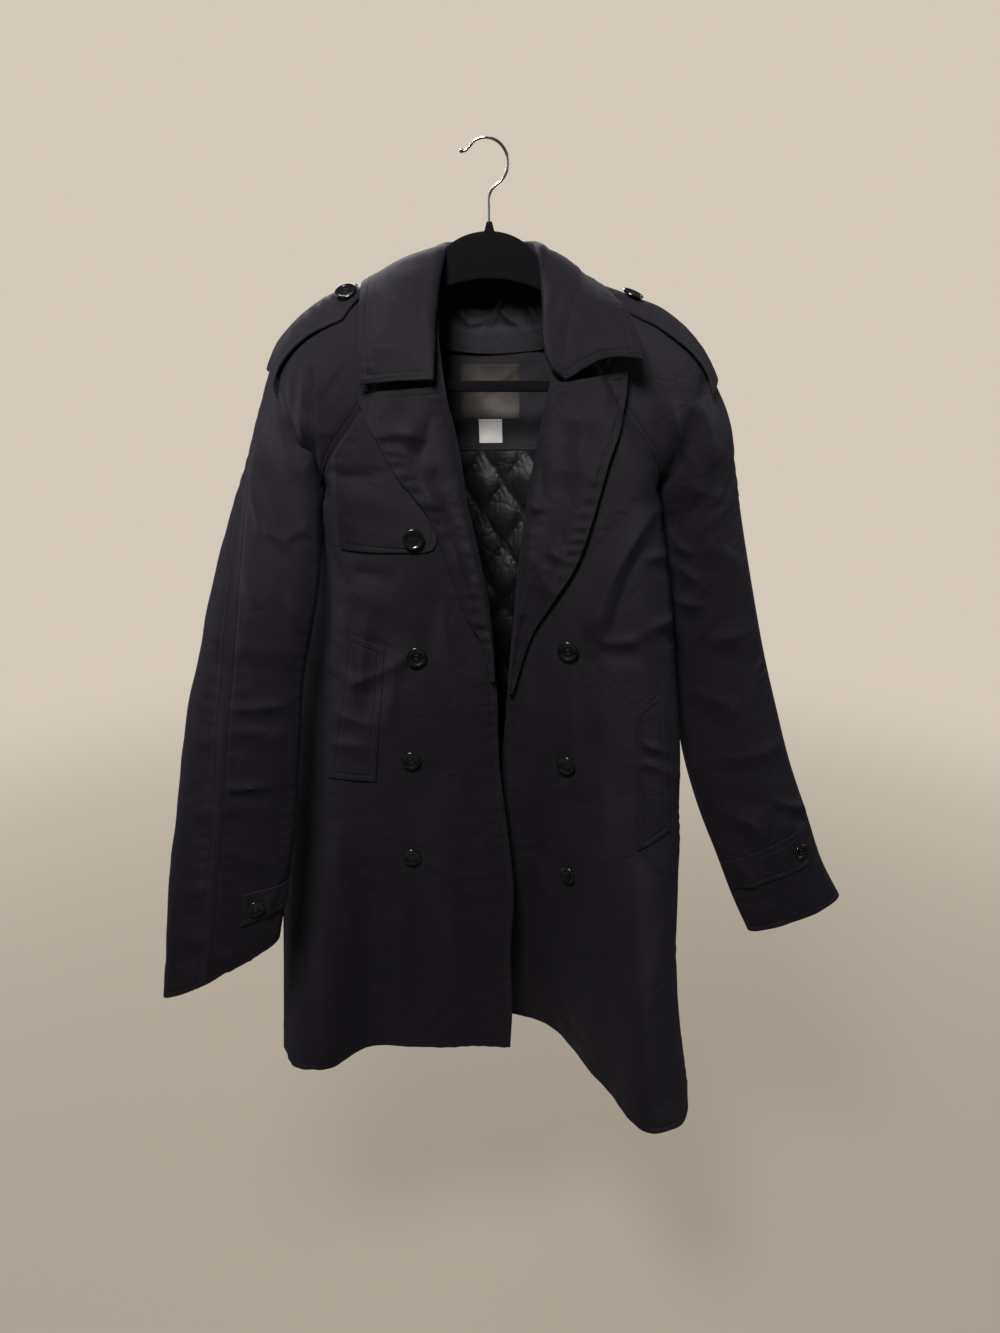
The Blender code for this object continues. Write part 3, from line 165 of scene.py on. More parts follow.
# Raglan seam of the front down to the underarm, then the side seam to the hem
SEAM = {"left": Sections("z x y", [
    (-0.122, -0.0580, -0.021), (-0.160, -0.0790, -0.044), (-0.200, -0.1010, -0.056),
    (-0.240, -0.1250, -0.058), (-0.275, -0.1510, -0.053), (-0.295, -0.1620, -0.041),
    (-0.315, -0.1660, -0.018), (-0.326, -0.1714, -0.0095), (-0.350, -0.1762, -0.006),
    (-0.400, -0.1850, -0.004),
    (-0.500, -0.2060, -0.002), (-0.600, -0.2230, -0.003), (-0.700, -0.2380, -0.006),
    (-0.800, -0.2490, -0.015), (-0.900, -0.2540, -0.030), (-1.000, -0.2570, -0.055)]),
    "right": Sections("z x y", [
    (-0.122, 0.0640, -0.020), (-0.160, 0.0850, -0.044), (-0.200, 0.1070, -0.056),
    (-0.240, 0.1310, -0.058), (-0.275, 0.1570, -0.053), (-0.295, 0.1680, -0.041),
    (-0.315, 0.1720, -0.018), (-0.330, 0.1752, -0.019), (-0.350, 0.1782, -0.020), (-0.400, 0.1872, -0.0225),
    (-0.500, 0.1995, -0.026), (-0.600, 0.2110, -0.030), (-0.700, 0.2145, -0.036),
    (-0.800, 0.2160, -0.048), (-0.900, 0.2220, -0.065), (-1.000, 0.2320, -0.100)])}
RAGLAN_BACK = Sections("z y", [
    (-0.122, 0.037), (-0.160, 0.043), (-0.200, 0.045), (-0.240, 0.045), (-0.275, 0.038),
    (-0.295, 0.021), (-0.315, -0.018)])

# How far forward each panel stands, at fractions of its width from edge to side
FRONT_FORM = {"left": Sections("z y20 y40 y60 y80 y93", [
    (-0.122, -0.027, -0.027, -0.026, -0.025, -0.023),
    (-0.160, -0.044, -0.046, -0.048, -0.048, -0.046),
    (-0.200, -0.058, -0.060, -0.062, -0.062, -0.060),
    (-0.275, -0.068, -0.071, -0.071, -0.068, -0.060),
    (-0.315, -0.071, -0.073, -0.072, -0.064, -0.048),
    (-0.400, -0.074, -0.075, -0.071, -0.056, -0.032),
    (-0.500, -0.074, -0.073, -0.067, -0.053, -0.030),
    (-0.600, -0.070, -0.069, -0.065, -0.053, -0.034),
    (-0.700, -0.066, -0.065, -0.062, -0.057, -0.042),
    (-0.850, -0.059, -0.058, -0.059, -0.070, -0.060),
    (-1.000, -0.0535, -0.054, -0.0553, -0.0935, -0.088)]),
    "right": Sections("z y20 y40 y60 y80 y93", [
    (-0.122, -0.025, -0.026, -0.025, -0.024, -0.022),
    (-0.160, -0.044, -0.046, -0.048, -0.048, -0.046),
    (-0.200, -0.058, -0.061, -0.063, -0.062, -0.060),
    (-0.275, -0.068, -0.072, -0.073, -0.070, -0.061),
    (-0.315, -0.070, -0.074, -0.074, -0.067, -0.050),
    (-0.400, -0.073, -0.077, -0.076, -0.067, -0.050),
    (-0.500, -0.070, -0.077, -0.079, -0.071, -0.056),
    (-0.600, -0.062, -0.075, -0.084, -0.082, -0.066),
    (-0.700, -0.048, -0.069, -0.092, -0.098, -0.078),
    (-0.850, -0.020, -0.046, -0.102, -0.142, -0.122),
    (-1.000, 0.001, -0.0255, -0.113, -0.187, -0.174)])}
BACK_FORM = Sections("z y07 y25 y50 y75 y93", [
    (-0.122, 0.038, 0.041, 0.043, 0.041, 0.038),
    (-0.160, 0.044, 0.047, 0.048, 0.047, 0.044),
    (-0.200, 0.047, 0.050, 0.051, 0.050, 0.047),
    (-0.275, 0.046, 0.051, 0.052, 0.051, 0.046),
    (-0.315, 0.030, 0.048, 0.051, 0.048, 0.030),
    (-0.400, 0.031, 0.046, 0.049, 0.046, 0.031),
    (-0.600, 0.033, 0.044, 0.047, 0.043, 0.030),
    (-0.800, 0.022, 0.041, 0.045, 0.040, 0.012),
    (-1.000, -0.014, 0.036, 0.044, 0.038, -0.040)])

# Soft folds: top and foot as (x, z), how wide, how far it stands out
FOLDS = {
    "left": [((-0.060, -0.62), (-0.045, -1.05), 0.022, 0.0045),
             ((-0.135, -0.72), (-0.165, -1.05), 0.022, -0.006),
             ((-0.105, -0.42), (-0.150, -0.58), 0.020, -0.0045)],
    "right": [((0.160, -0.30), (0.095, -0.48), 0.020, 0.005),
              ((0.055, -0.62), (0.078, -0.95), 0.018, -0.008),
              ((0.130, -0.60), (0.118, -1.05), 0.020, 0.005)],
    "back": [((-0.085, -0.50), (-0.120, -1.05), 0.030, -0.007),
             ((0.010, -0.62), (0.004, -1.05), 0.030, -0.006),
             ((0.095, -0.50), (0.125, -1.05), 0.030, -0.007)]}

# Sleeves, by the height of the inner (raglan, then underarm) seam. The flat section runs from
# that seam to the outer edge; "seam" is where the overarm seam lies on its front, as a fraction;
# front and back are its half depths, and round is 0 on the shoulder and 1 on the arm's tube.
SLEEVE_NAMES = "z in_x in_y out_x out_y out_z seam front back round"
SLEEVE = {"left": Sections(SLEEVE_NAMES, [
    (-0.122, -0.0580, 0.000, -0.0540, 0.001, -0.1060, 1.00, 0.006, 0.006, 0.0),
    (-0.160, -0.0790, 0.000, -0.0900, 0.001, -0.1145, 1.00, 0.012, 0.010, 0.0),
    (-0.200, -0.1010, 0.000, -0.1280, 0.001, -0.1265, 1.00, 0.018, 0.014, 0.0),
    (-0.240, -0.1250, 0.000, -0.1610, 0.000, -0.1405, 1.00, 0.021, 0.017, 0.0),
    (-0.275, -0.1510, 0.000, -0.1900, -0.001, -0.1625, 1.00, 0.025, 0.021, 0.1),
    (-0.295, -0.1620, 0.000, -0.2060, -0.003, -0.1820, 0.99, 0.029, 0.027, 0.3),
    (-0.315, -0.1660, -0.018, -0.2185, -0.005, -0.2100, 0.96, 0.034, 0.034, 0.6),
    (-0.350, -0.1665, -0.052, -0.2377, -0.022, -0.2760, 0.88, 0.034, 0.036, 1.0),
    (-0.400, -0.1680, -0.075, -0.2575, -0.060, -0.3470, 0.76, 0.031, 0.033, 1.0),
    (-0.440, -0.1750, -0.087, -0.2720, -0.085, -0.4000, 0.70, 0.029, 0.032, 1.0),
    (-0.490, -0.1855, -0.096, -0.2850, -0.107, -0.4630, 0.67, 0.026, 0.032, 1.0),
    (-0.550, -0.1920, -0.103, -0.2985, -0.124, -0.5250, 0.66, 0.026, 0.031, 1.0),
    (-0.620, -0.2000, -0.110, -0.3115, -0.140, -0.6000, 0.65, 0.023, 0.030, 1.0),
    (-0.695, -0.2115, -0.115, -0.3265, -0.155, -0.6900, 0.65, 0.021, 0.026, 1.0),
    (-0.7845, -0.2299, -0.118, -0.3448, -0.175, -0.8201, 0.66, 0.018, 0.020, 1.0)]),
    "right": Sections(SLEEVE_NAMES, [
    (-0.122, 0.0640, 0.000, 0.0600, 0.001, -0.1120, 1.00, 0.006, 0.006, 0.0),
    (-0.160, 0.0850, 0.000, 0.0960, 0.001, -0.1235, 1.00, 0.012, 0.010, 0.0),
    (-0.200, 0.1070, 0.000, 0.1340, 0.001, -0.1355, 1.00, 0.018, 0.014, 0.0),
    (-0.240, 0.1310, 0.000, 0.1670, 0.001, -0.1480, 1.00, 0.021, 0.017, 0.0),
    (-0.275, 0.1570, 0.000, 0.1950, 0.001, -0.1690, 1.00, 0.025, 0.021, 0.1),
    (-0.295, 0.1680, 0.000, 0.2100, 0.001, -0.1870, 1.00, 0.029, 0.027, 0.3),
    (-0.315, 0.1720, -0.018, 0.2240, 0.001, -0.2160, 1.00, 0.034, 0.032, 0.6),
    (-0.360, 0.1785, -0.001, 0.2465, 0.002, -0.2830, 0.98, 0.034, 0.030, 1.0),
    (-0.420, 0.1870, 0.008, 0.2634, 0.003, -0.3510, 0.98, 0.033, 0.029, 1.0),
    (-0.490, 0.1980, 0.012, 0.2825, 0.004, -0.4260, 0.98, 0.032, 0.028, 1.0),
    (-0.560, 0.2095, 0.012, 0.3028, 0.004, -0.5014, 0.98, 0.031, 0.027, 1.0),
    (-0.620, 0.2205, 0.004, 0.3215, 0.003, -0.5620, 0.98, 0.029, 0.026, 1.0),
    (-0.680, 0.2390, -0.014, 0.3435, 0.002, -0.6300, 0.98, 0.027, 0.025, 1.0),
    (-0.740, 0.2640, -0.031, 0.3700, 0.001, -0.6970, 0.98, 0.025, 0.023, 1.0),
    (-0.790, 0.2844, -0.035, 0.3960, 0.000, -0.7625, 0.98, 0.022, 0.020, 1.0),
    (-0.8366, 0.3064, -0.040, 0.4236, 0.000, -0.8122, 0.98, 0.020, 0.017, 1.0)])}

# Collar: stations from the viewer's left point round the back of the neck to the right point
COLLAR = Sections("station fold_x fold_y fold_z edge_x edge_y edge_z crown", [
    (-7, -0.0530, -0.0755, -0.2040, -0.1175, -0.076, -0.2077, 0.003),
    (-6, -0.0515, -0.066, -0.1780, -0.1172, -0.073, -0.1847, 0.005),
    (-5, -0.0511, -0.053, -0.1532, -0.1171, -0.065, -0.1617, 0.007),
    (-4, -0.0480, -0.033, -0.1225, -0.1180, -0.045, -0.1375, 0.008),
    (-3, -0.0440, -0.012, -0.0965, -0.1190, -0.012, -0.1195, 0.006),
    (-2, -0.0390, 0.012, -0.0880, -0.1150, 0.022, -0.1205, 0.006),
    (-1, -0.0270, 0.032, -0.0855, -0.0930, 0.054, -0.1420, 0.006),
    (0, 0.0030, 0.0375, -0.0840, 0.0030, 0.064, -0.1650, 0.006),
    (1, 0.0330, 0.032, -0.0860, 0.0880, 0.054, -0.1420, 0.006),
    (2, 0.0450, 0.012, -0.0885, 0.1020, 0.022, -0.1245, 0.006),
    (3, 0.0500, -0.012, -0.0965, 0.1060, -0.014, -0.1225, 0.006),
    (4, 0.0528, -0.035, -0.1320, 0.1220, -0.056, -0.1400, 0.008),
    (5, 0.0535, -0.055, -0.1680, 0.1310, -0.074, -0.1562, 0.007),
    (6, 0.0600, -0.066, -0.1900, 0.1350, -0.082, -0.1723, 0.005),
    (7, 0.0745, -0.0745, -0.2021, 0.1381, -0.086, -0.1847, 0.004)])

# Foot of the neck stand inside the collar, at the collar's own stations
STAND_FOOT = Sections("station x y z", [
    (-2.2, -0.0600, 0.0120, -0.1745), (-1.2, -0.0477, 0.0400, -0.1832), (0, 0.0030, 0.0441, -0.1880),
    (1.2, 0.0545, 0.0400, -0.1832), (2.2, 0.0660, 0.0120, -0.1745)])

# Lapels: the roll line and the free edge, top to foot
LAPEL = {"left": Sections("row roll_x roll_z free_x free_z", [
    (0, -0.0450, -0.2110, -0.1215, -0.2165), (1, -0.0370, -0.2303, -0.1195, -0.2303),
    (2, -0.0300, -0.2571, -0.1049, -0.2571), (3, -0.0245, -0.2870, -0.0890, -0.2870),
    (4, -0.0200, -0.3200, -0.0640, -0.3200), (5, -0.0140, -0.3460, -0.0505, -0.3460),
    (6, -0.0050, -0.3900, -0.0355, -0.3900), (7, 0.0015, -0.4300, -0.0225, -0.4300),
    (8, 0.0040, -0.4620, -0.0060, -0.4620), (9, 0.0065, -0.5000, 0.0015, -0.5000)]),
    "right": Sections("row roll_x roll_z free_x free_z", [
    (0, 0.0660, -0.2070, 0.1285, -0.1985), (1, 0.0545, -0.2240, 0.1278, -0.2221),
    (2, 0.0490, -0.2490, 0.1227, -0.2490), (3, 0.0430, -0.2787, 0.1130, -0.2787),
    (4, 0.0375, -0.3114, 0.1050, -0.3114), (5, 0.0330, -0.3480, 0.0950, -0.3480),
    (6, 0.0295, -0.3800, 0.0840, -0.3800), (7, 0.0265, -0.4150, 0.0640, -0.4150),
    (8, 0.0235, -0.4600, 0.0400, -0.4600), (9, 0.0200, -0.5200, 0.0235, -0.5200)])}
LAPEL_LIFT = 0.0048       # under the lapel's free edge, room for the flap
ROLL_LIFT = 0.0095        # how far the cloth stands out where it turns over

# Storm flap and pocket welts: corners as (x, z) on the front they lie on
FLAP = dict(top_z=-0.238, foot_z=-0.3655, inner_x=-0.0505, outer_x=-0.147, corner=0.012,
            seam_gap=0.004)
WELT = {"left": dict(top=((-0.108, -0.470), (-0.146, -0.455)), foot=((-0.124, -0.622), (-0.176, -0.622))),
        "right": dict(top=((0.152, -0.537), (0.182, -0.518)), foot=((0.160, -0.690), (0.196, -0.675)))}

# Buttons as (x, z) on what they are sewn to
FRONT_BUTTONS = {"left": [(-0.0740, -0.4745), (-0.0845, -0.5945), (-0.0879, -0.7183)],
                 "right": [(0.0800, -0.4675), (0.0815, -0.5974), (0.0875, -0.7355)]}
FLAP_BUTTON = (-0.0729, -0.3517)
BUTTON_LIFT = 0.0009      # clear space under a front's button

# Epaulettes along the shoulder: sleeve stations, how far they reach behind the shoulder line, and
# before it at the neck and at the outer end; the button's place along and across the strap
EPAULETTE = dict(last=-0.309, behind=0.010, point=0.45, taper=0.2)
STRAP = {"left": dict(first=-0.196, front=(0.046, 0.038), button=(0.10, 3 / 7)),
         "right": dict(first=-0.175, front=(0.030, 0.040), button=(0.20, 4 / 7))}
STRAP_LIFT = 0.0055       # how far the front of a strap's outer end stands off the sleeve
# Cuff tabs: sleeve stations, and the stretch of the front of the sleeve that they cross
TAB = {"left": dict(first=-0.7090, last=-0.7400, start=0.04, stop=0.42, button=0.32),
       "right": dict(first=-0.7450, last=-0.7800, start=0.04, stop=0.80, button=0.68)}

# Creases as they lie in the frame: two ends, bow to the side, width in pixels, rise in millimetres
LEFT_SLEEVE_CREASES = [
    (286, 392, 322, 482, 3, 9, 3.0), (311, 366, 319, 482, 2, 5, -3.4), (305, 372, 311, 470, 2, 5, 1.6),
    (272, 392, 305, 492, 4, 9, 3.0), (292, 400, 314, 452, -3, 7, 2.0), (258, 430, 252, 520, 3, 12, 1.6),
    (262, 524, 296, 548, 3, 6, 2.6), (283, 541, 309, 528, -2, 5, 2.0), (236, 560, 262, 610, 3, 9, 1.4),
    (196, 707, 300, 700, 5, 7, 2.2), (204, 728, 292, 742, -4, 9, 1.5), (190, 786, 294, 782, 4, 7, 2.4),
    (184, 806, 288, 812, -3, 8, 1.8), (214, 640, 300, 652, 4, 10, 1.5), (172, 878, 214, 930, 3, 7, 2.2),
    (178, 850, 232, 892, -3, 8, 1.8), (210, 838, 276, 868, 4, 9, 1.8), (196, 940, 246, 962, 2, 8, 1.4),
    (286, 590, 308, 640, 3, 7, 1.8)]
RIGHT_SLEEVE_CREASES = [
    (672, 395, 694, 470, 4, 9, 2.4), (700, 402, 716, 470, -4, 9, 2.0), (664, 526, 694, 556, 3, 6, 2.8),
    (666, 560, 700, 588, -3, 7, 2.4), (668, 596, 708, 606, 3, 7, 2.2), (684, 480, 722, 500, 3, 9, 1.4),
    (700, 640, 760, 628, 4, 10, 1.6), (688, 690, 742, 716, -4, 10, 1.8), (716, 760, 790, 742, 4, 9, 1.6),
    (772, 800, 818, 806, 3, 6, 2.6), (722, 812, 770, 838, -3, 9, 1.8), (736, 858, 770, 900, 3, 8, 1.6),
    (720, 540, 748, 600, -4, 12, 1.5)]
LEFT_FRONT_CREASES = [
    (326, 474, 396, 468, 5, 12, -2.4), (345, 684, 414, 652, 4, 8, 2.4), (338, 612, 356, 720, -6, 9, 2.0),
    (372, 600, 366, 706, 5, 9, 1.8), (394, 640, 384, 740, -4, 9, 1.4), (330, 706, 396, 728, 3, 9, 1.8),
    (328, 742, 392, 752, -3, 8, 1.4), (340, 820, 356, 960, 6, 16, 2.0), (400, 880, 396, 1036, -6, 16, 2.0),
    (452, 840, 470, 1030, 8, 18, 2.0), (420, 700, 470, 820, -8, 14, 1.5),
    (310, 880, 318, 1040, 5, 14, -2.2),
    (440, 600, 470, 700, 5, 10, 1.6), (350, 570, 402, 576, 3, 12, -1.6)]
RIGHT_FRONT_CREASES = [
    (664, 500, 590, 640, 10, 10, 3.2), (652, 540, 610, 640, 6, 9, -2.0), (598, 642, 642, 637, 3, 7, 2.6),
    (640, 638, 680, 616, -3, 8, 2.6), (640, 560, 668, 548, 3, 7, 2.0), (545, 868, 562, 924, 3, 8, 2.6),
    (540, 700, 552, 860, 8, 16, 1.6), (600, 760, 590, 960, -10, 20, 2.4), (640, 860, 650, 1060, 8, 18, 2.4),
    (660, 700, 672, 900, -5, 12, 1.6), (560, 940, 600, 1060, 8, 16, 2.0), (536, 900, 532, 1006, 4, 10, 1.8),
    (640, 740, 676, 752, 3, 6, 2.0), (642, 762, 678, 780, -3, 6, 1.8), (646, 842, 664, 872, 2, 7, 1.6),
    (620, 660, 600, 740, 6, 12, 1.4), (538, 600, 545, 1010, 6, 15, -3.0), (570, 600, 584, 1010, 4, 16, 1.4)]
COLLAR_CREASES = [
    (380, 300, 420, 290, 4, 10, 1.2), (372, 350, 424, 356, -4, 9, 1.2), (560, 290, 600, 330, 5, 10, 1.2),
    (566, 340, 616, 346, 4, 9, 1.0)]
LEFT_LAPEL_CREASES = [
    (392, 424, 430, 440, 4, 8, 2.2), (384, 452, 436, 470, -4, 8, 1.8), (404, 500, 446, 506, 3, 7, 1.6),
    (436, 410, 420, 470, 3, 8, -1.8), (372, 424, 430, 436, 4, 12, 1.4), (420, 470, 452, 520, 5, 10, 1.6),
    (452, 540, 478, 600, 4, 8, 1.2)]
RIGHT_LAPEL_CREASES = [
    (560, 420, 622, 412, 4, 12, 1.2), (548, 470, 600, 480, -4, 12, 1.2), (536, 560, 560, 600, 4, 9, 1.4),
    (540, 430, 548, 520, 3, 9, -1.8), (590, 396, 578, 470, 4, 9, 1.6), (520, 500, 556, 508, 3, 7, 1.4),
    (548, 548, 566, 560, 2, 5, 1.4)]
STAND_CREASES = [
    (512, 286, 488, 338, 4, 6, 3.6), (504, 290, 482, 334, 3, 4, -2.6), (468, 294, 506, 300, 4, 5, 2.8),
    (466, 300, 500, 306, 3, 3.5, -2.0), (450, 302, 472, 334, -3, 5, 2.2), (498, 308, 532, 330, 3, 5, 2.4),
    (458, 324, 500, 316, 3, 4, 1.8), (522, 294, 538, 332, -2, 5, 1.8), (446, 312, 456, 338, 1, 4, -1.4)]
# Behind: the same, but as x and z in millimetres on the back and the sleeves' back halves
BACK_CREASES = [
    (-150, -300, -60, -420, 12, 14, 2.4), (150, -300, 60, -420, -12, 14, 2.4),
    (-170, -340, -110, -460, 8, 11, 2.0),
    (172, -340, 112, -460, -8, 11, 2.0), (-60, -200, -30, -300, 6, 16, 1.5),
    (66, -200, 34, -300, -6, 16, 1.5),
    (-140, -560, -60, -600, 8, 16, 1.6), (130, -620, 50, -650, 8, 16, 1.6),
    (-40, -700, -50, -980, 10, 22, 2.2),
    (70, -680, 84, -980, 10, 24, 2.4), (-150, -700, -170, -980, 10, 20, 2.2),
    (170, -760, 180, -960, 6, 18, 1.8)]
SLEEVE_BACK_CREASES = [
    (-190, -330, -240, -390, 6, 9, 2.4), (-200, -420, -270, -440, 6, 10, 2.2),
    (-215, -500, -290, -540, 6, 12, 2.0),
    (-230, -600, -300, -610, 5, 12, 2.0), (-240, -680, -320, -700, 5, 12, 2.0),
    (-260, -760, -330, -740, 5, 12, 1.8),
    (200, -330, 250, -380, 6, 9, 2.4), (215, -420, 275, -440, 6, 10, 2.2),
    (235, -510, 300, -520, 6, 12, 2.0),
    (260, -600, 330, -600, 5, 12, 2.0), (290, -680, 360, -690, 5, 12, 2.0),
    (330, -750, 390, -740, 5, 12, 1.8)]


# ---- curves and grids ---------------------------------------------------------------------

def curve_through(points, count=160):
    """A smooth dense curve through a few points, spaced by their chords."""
    points = np.asarray(points, float)
    station = np.concatenate([[0.0], np.cumsum(np.linalg.norm(np.diff(points, axis=0), axis=1))])
    slope = np.gradient(points, station, axis=0)
    where = np.linspace(0.0, station[-1], count)
    i = np.clip(np.searchsorted(station, where) - 1, 0, len(station) - 2)
    step = (station[i + 1] - station[i])[:, None]
    return hermite((where - station[i])[:, None] / step, step, points[i], slope[i], points[i + 1],
                   slope[i + 1])


def lengths(curve):
    return np.concatenate([[0.0], np.cumsum(np.linalg.norm(np.diff(curve, axis=0), axis=1))])


def walk(curve, distances):
    along = lengths(curve)
    return np.stack([np.interp(distances, along, curve[:, axis]) for axis in range(3)], axis=1)


def even(curve, count):
    return walk(curve, np.linspace(0.0, lengths(curve)[-1], count))


def normals_of(grid, outward):
    """Unit normals of a grid of points, on the side that the outward hint points to."""
    normal = np.cross(np.gradient(grid, axis=0), np.gradient(grid, axis=1))
    normal /= np.maximum(np.linalg.norm(normal, axis=2, keepdims=True), 1e-12)
    return -normal if np.sum(normal * np.asarray(outward)) < 0 else normal


def smooth_step(value, low, high):
    t = np.clip((value - low) / (high - low), 0.0, 1.0)
    return t * t * (3 - 2 * t)


def crease_rise(flat, table):
    """Rise of uneven soft ridges, each with a shallow trough beside it, over flat 2-D places."""
    total = np.zeros(flat.shape[:-1])
    for number, (x0, y0, x1, y1, bow, width, rise) in enumerate(table):
        start, run = np.array([x0, y0], float), np.array([x1 - x0, y1 - y0], float)
        size = np.linalg.norm(run)
        along = ((flat - start) @ run) / size**2
        side = ((flat - start) @ np.array([-run[1], run[0]])) / size - bow * 4 * along * (1 - along)
        inside = np.clip(along, 0.0, 1.0)
        fade = np.sin(np.pi * inside) ** 0.8 * (1 + 0.35 * np.sin(7 * inside + number))
        fade = fade * (along > 0) * (along < 1)
        wide = width * (0.75 + 0.5 * inside)
        near = side / wide
        ridge = np.exp(-1.9 * (np.sqrt(near ** 2 + 0.05) - 0.22))
        trough = 0.55 * np.exp(-((near - 2.0) / 1.1) ** 2)
        total += CREASE_RISE * rise / 1000 * fade * (ridge - trough)
    return total


def small_creases(cloth, seed, count, rise=0.42):
    """Short sharp creases of worn cotton, scattered over a piece, by its own lengths in millimetres."""
    spread = np.random.RandomState(seed)
    wide, tall = cloth.across.max() * 1000, cloth.down.max() * 1000
    table = []
    for _ in range(count):
        x, y = spread.uniform(0, wide), spread.uniform(0, tall)
        length = spread.uniform(30, 110)
        angle = spread.normal(0.0, 0.6) + (math.pi / 2) * (spread.rand() < 0.35)
        dx, dy = length * math.cos(angle) / 2, length * math.sin(angle) / 2
        table.append((x - dx, y - dy, x + dx, y + dy, spread.uniform(-6, 6), spread.uniform(3.0, 7.0),
                      rise * spread.uniform(0.4, 1.4) * spread.choice([-1, 1])))
    return crease_rise(np.stack([cloth.across, cloth.down], axis=2) * 1000, table)


def rumple(first, second, seed, size=0.0011):
    """Low uneven waves of worn cloth, over two lengths in metres."""
    spread = np.random.RandomState(seed)
    total = np.zeros_like(first)
    for wave in range(9):
        pitch = 0.030 * 1.32 ** wave
        angle, phase = spread.uniform(0, math.pi), spread.uniform(0, 2 * math.pi)
        turned = first * math.sin(angle) - second * math.cos(angle)
        bend = np.sin(2 * math.pi * turned / (3.1 * pitch) + phase)
        total += (size * (pitch / 0.1) ** 0.8 / 3
                  * np.sin(2 * math.pi * (first * math.cos(angle) + second * math.sin(angle)) / pitch
                           + phase + 1.3 * bend))
    return total


class Cloth:
    """A piece of cloth: its outer points, the way out at each, and how thick it is."""

    def __init__(self, name, grid, outward, thick=CLOTH, finish="twill"):
        self.name = name
        self.grid = np.asarray(grid, float)
        self.outward = outward
        self.out = normals_of(self.grid, outward)
        self.thick = thick
        self.finish = finish
        self.across = np.stack([lengths(row) for row in self.grid])
        self.down = np.stack([lengths(column) for column in self.grid.transpose(1, 0, 2)]).T

    def press(self, rise, pinned="ab"):
        """Move the points out by a rise that dies away at the pinned edges: a and b are the first
        and last columns, c and d the first and last rows."""
        hold = np.ones(self.grid.shape[:2])
        far_across = self.across[:, -1:] - self.across
        far_down = self.down[-1:] - self.down
        for edge, distance in (("a", self.across), ("b", far_across), ("c", self.down), ("d", far_down)):
            if edge in pinned:
                hold *= smooth_step(distance, 0.0, 0.016)
        self.grid = self.grid + self.out * (rise * hold)[..., None]
        self.out = normals_of(self.grid, self.outward)

    def line(self, rows, columns):
        """Points and ways out at fractional row and column numbers."""
        rows, columns = np.broadcast_arrays(np.asarray(rows, float), np.asarray(columns, float))
        i = np.clip(rows.astype(int), 0, self.grid.shape[0] - 2)
        j = np.clip(columns.astype(int), 0, self.grid.shape[1] - 2)
        v, u = (rows - i)[:, None], (columns - j)[:, None]

        def read(source):
            return ((source[i, j] * (1 - u) + source[i, j + 1] * u) * (1 - v)
                    + (source[i + 1, j] * (1 - u) + source[i + 1, j + 1] * u) * v)

        out = read(self.out)
        out /= np.linalg.norm(out, axis=1, keepdims=True)
        return read(self.grid), out

    def down_line(self, inset, from_end=False, first=0.0, last=1.0, count=120):
        """A line down the piece, a distance in from its first or last column."""
        rows = np.linspace(first, last, count) * (self.grid.shape[0] - 1)
        whole = np.interp(rows, np.arange(self.grid.shape[0]), self.across[:, -1])
        columns = inset / whole * (self.grid.shape[1] - 1)
        if from_end:
            columns = self.grid.shape[1] - 1 - columns
        return self.line(rows, columns)

    def cross_line(self, inset, from_end=False, first=0.0, last=1.0, count=80):
        """A line across the piece, a distance in from its first or last row."""
        columns = np.linspace(first, last, count) * (self.grid.shape[1] - 1)
        whole = np.interp(columns, np.arange(self.grid.shape[1]), self.down[-1])
        rows = inset / whole * (self.grid.shape[0] - 1)
        if from_end:
            rows = self.grid.shape[0] - 1 - rows
        return self.line(rows, columns)

    def build(self):
        inner = self.grid - self.out * self.thick
        return wall(self.name + "_cloth", self.grid, inner, self.finish, self.across, self.down)


def wall(name, outer, inner, finish, across, down):
    """A closed wall between two grids, its rims rounded, with the cloth's own lengths as its UV map."""
    rows, columns = outer.shape[:2]
    rim = ([(0, c) for c in range(columns)] + [(r, columns - 1) for r in range(1, rows)]
           + [(rows - 1, c) for c in range(columns - 2, -1, -1)] + [(r, 0) for r in range(rows - 2, 0, -1)])
    middle = (outer + inner) / 2
    half = np.linalg.norm(outer - inner, axis=2) / 2
    soft = []
    for r, c in rim:
        away = np.zeros(3)
        for on, neighbour in ((c == 0, (r, 1)), (c == columns - 1, (r, columns - 2)),
                              (r == 0, (1, c)), (r == rows - 1, (rows - 2, c))):
            if on:
                step = middle[r, c] - middle[neighbour]
                away += step / max(np.linalg.norm(step), 1e-9)
        soft.append(middle[r, c] + away * half[r, c] * RIM_BULGE)
    points = np.concatenate([outer.reshape(-1, 3), inner.reshape(-1, 3), np.array(soft)])
    r, c = np.meshgrid(np.arange(rows - 1), np.arange(columns - 1), indexing="ij")
    a = (r * columns + c).ravel()
    quads = np.stack([a, a + 1, a + columns + 1, a + columns], axis=1)
    faces = np.concatenate([quads, quads[:, ::-1] + rows * columns]).tolist()
    base = 2 * rows * columns
    ring = np.array([r * columns + c for r, c in rim])
    after = np.roll(np.arange(len(rim)), -1)
    for k, n in enumerate(after):
        faces.append([ring[n], ring[k], base + k, base + n])
        faces.append([base + n, base + k, ring[k] + rows * columns, ring[n] + rows * columns])
    flat = np.stack([across, down], axis=2).reshape(-1, 2)
    spots = np.concatenate([flat, flat, flat[ring]])
    far = np.minimum(np.minimum(across, across[:, -1:] - across), np.minimum(down, down[-1:] - down)).ravel()
    return add_piece(name, points, faces, finish, spots, np.concatenate([far, far, far[ring]]))


def new_object(name, data):
    made = bpy.data.objects.new(name, data)
    bpy.context.scene.collection.objects.link(made)
    return made


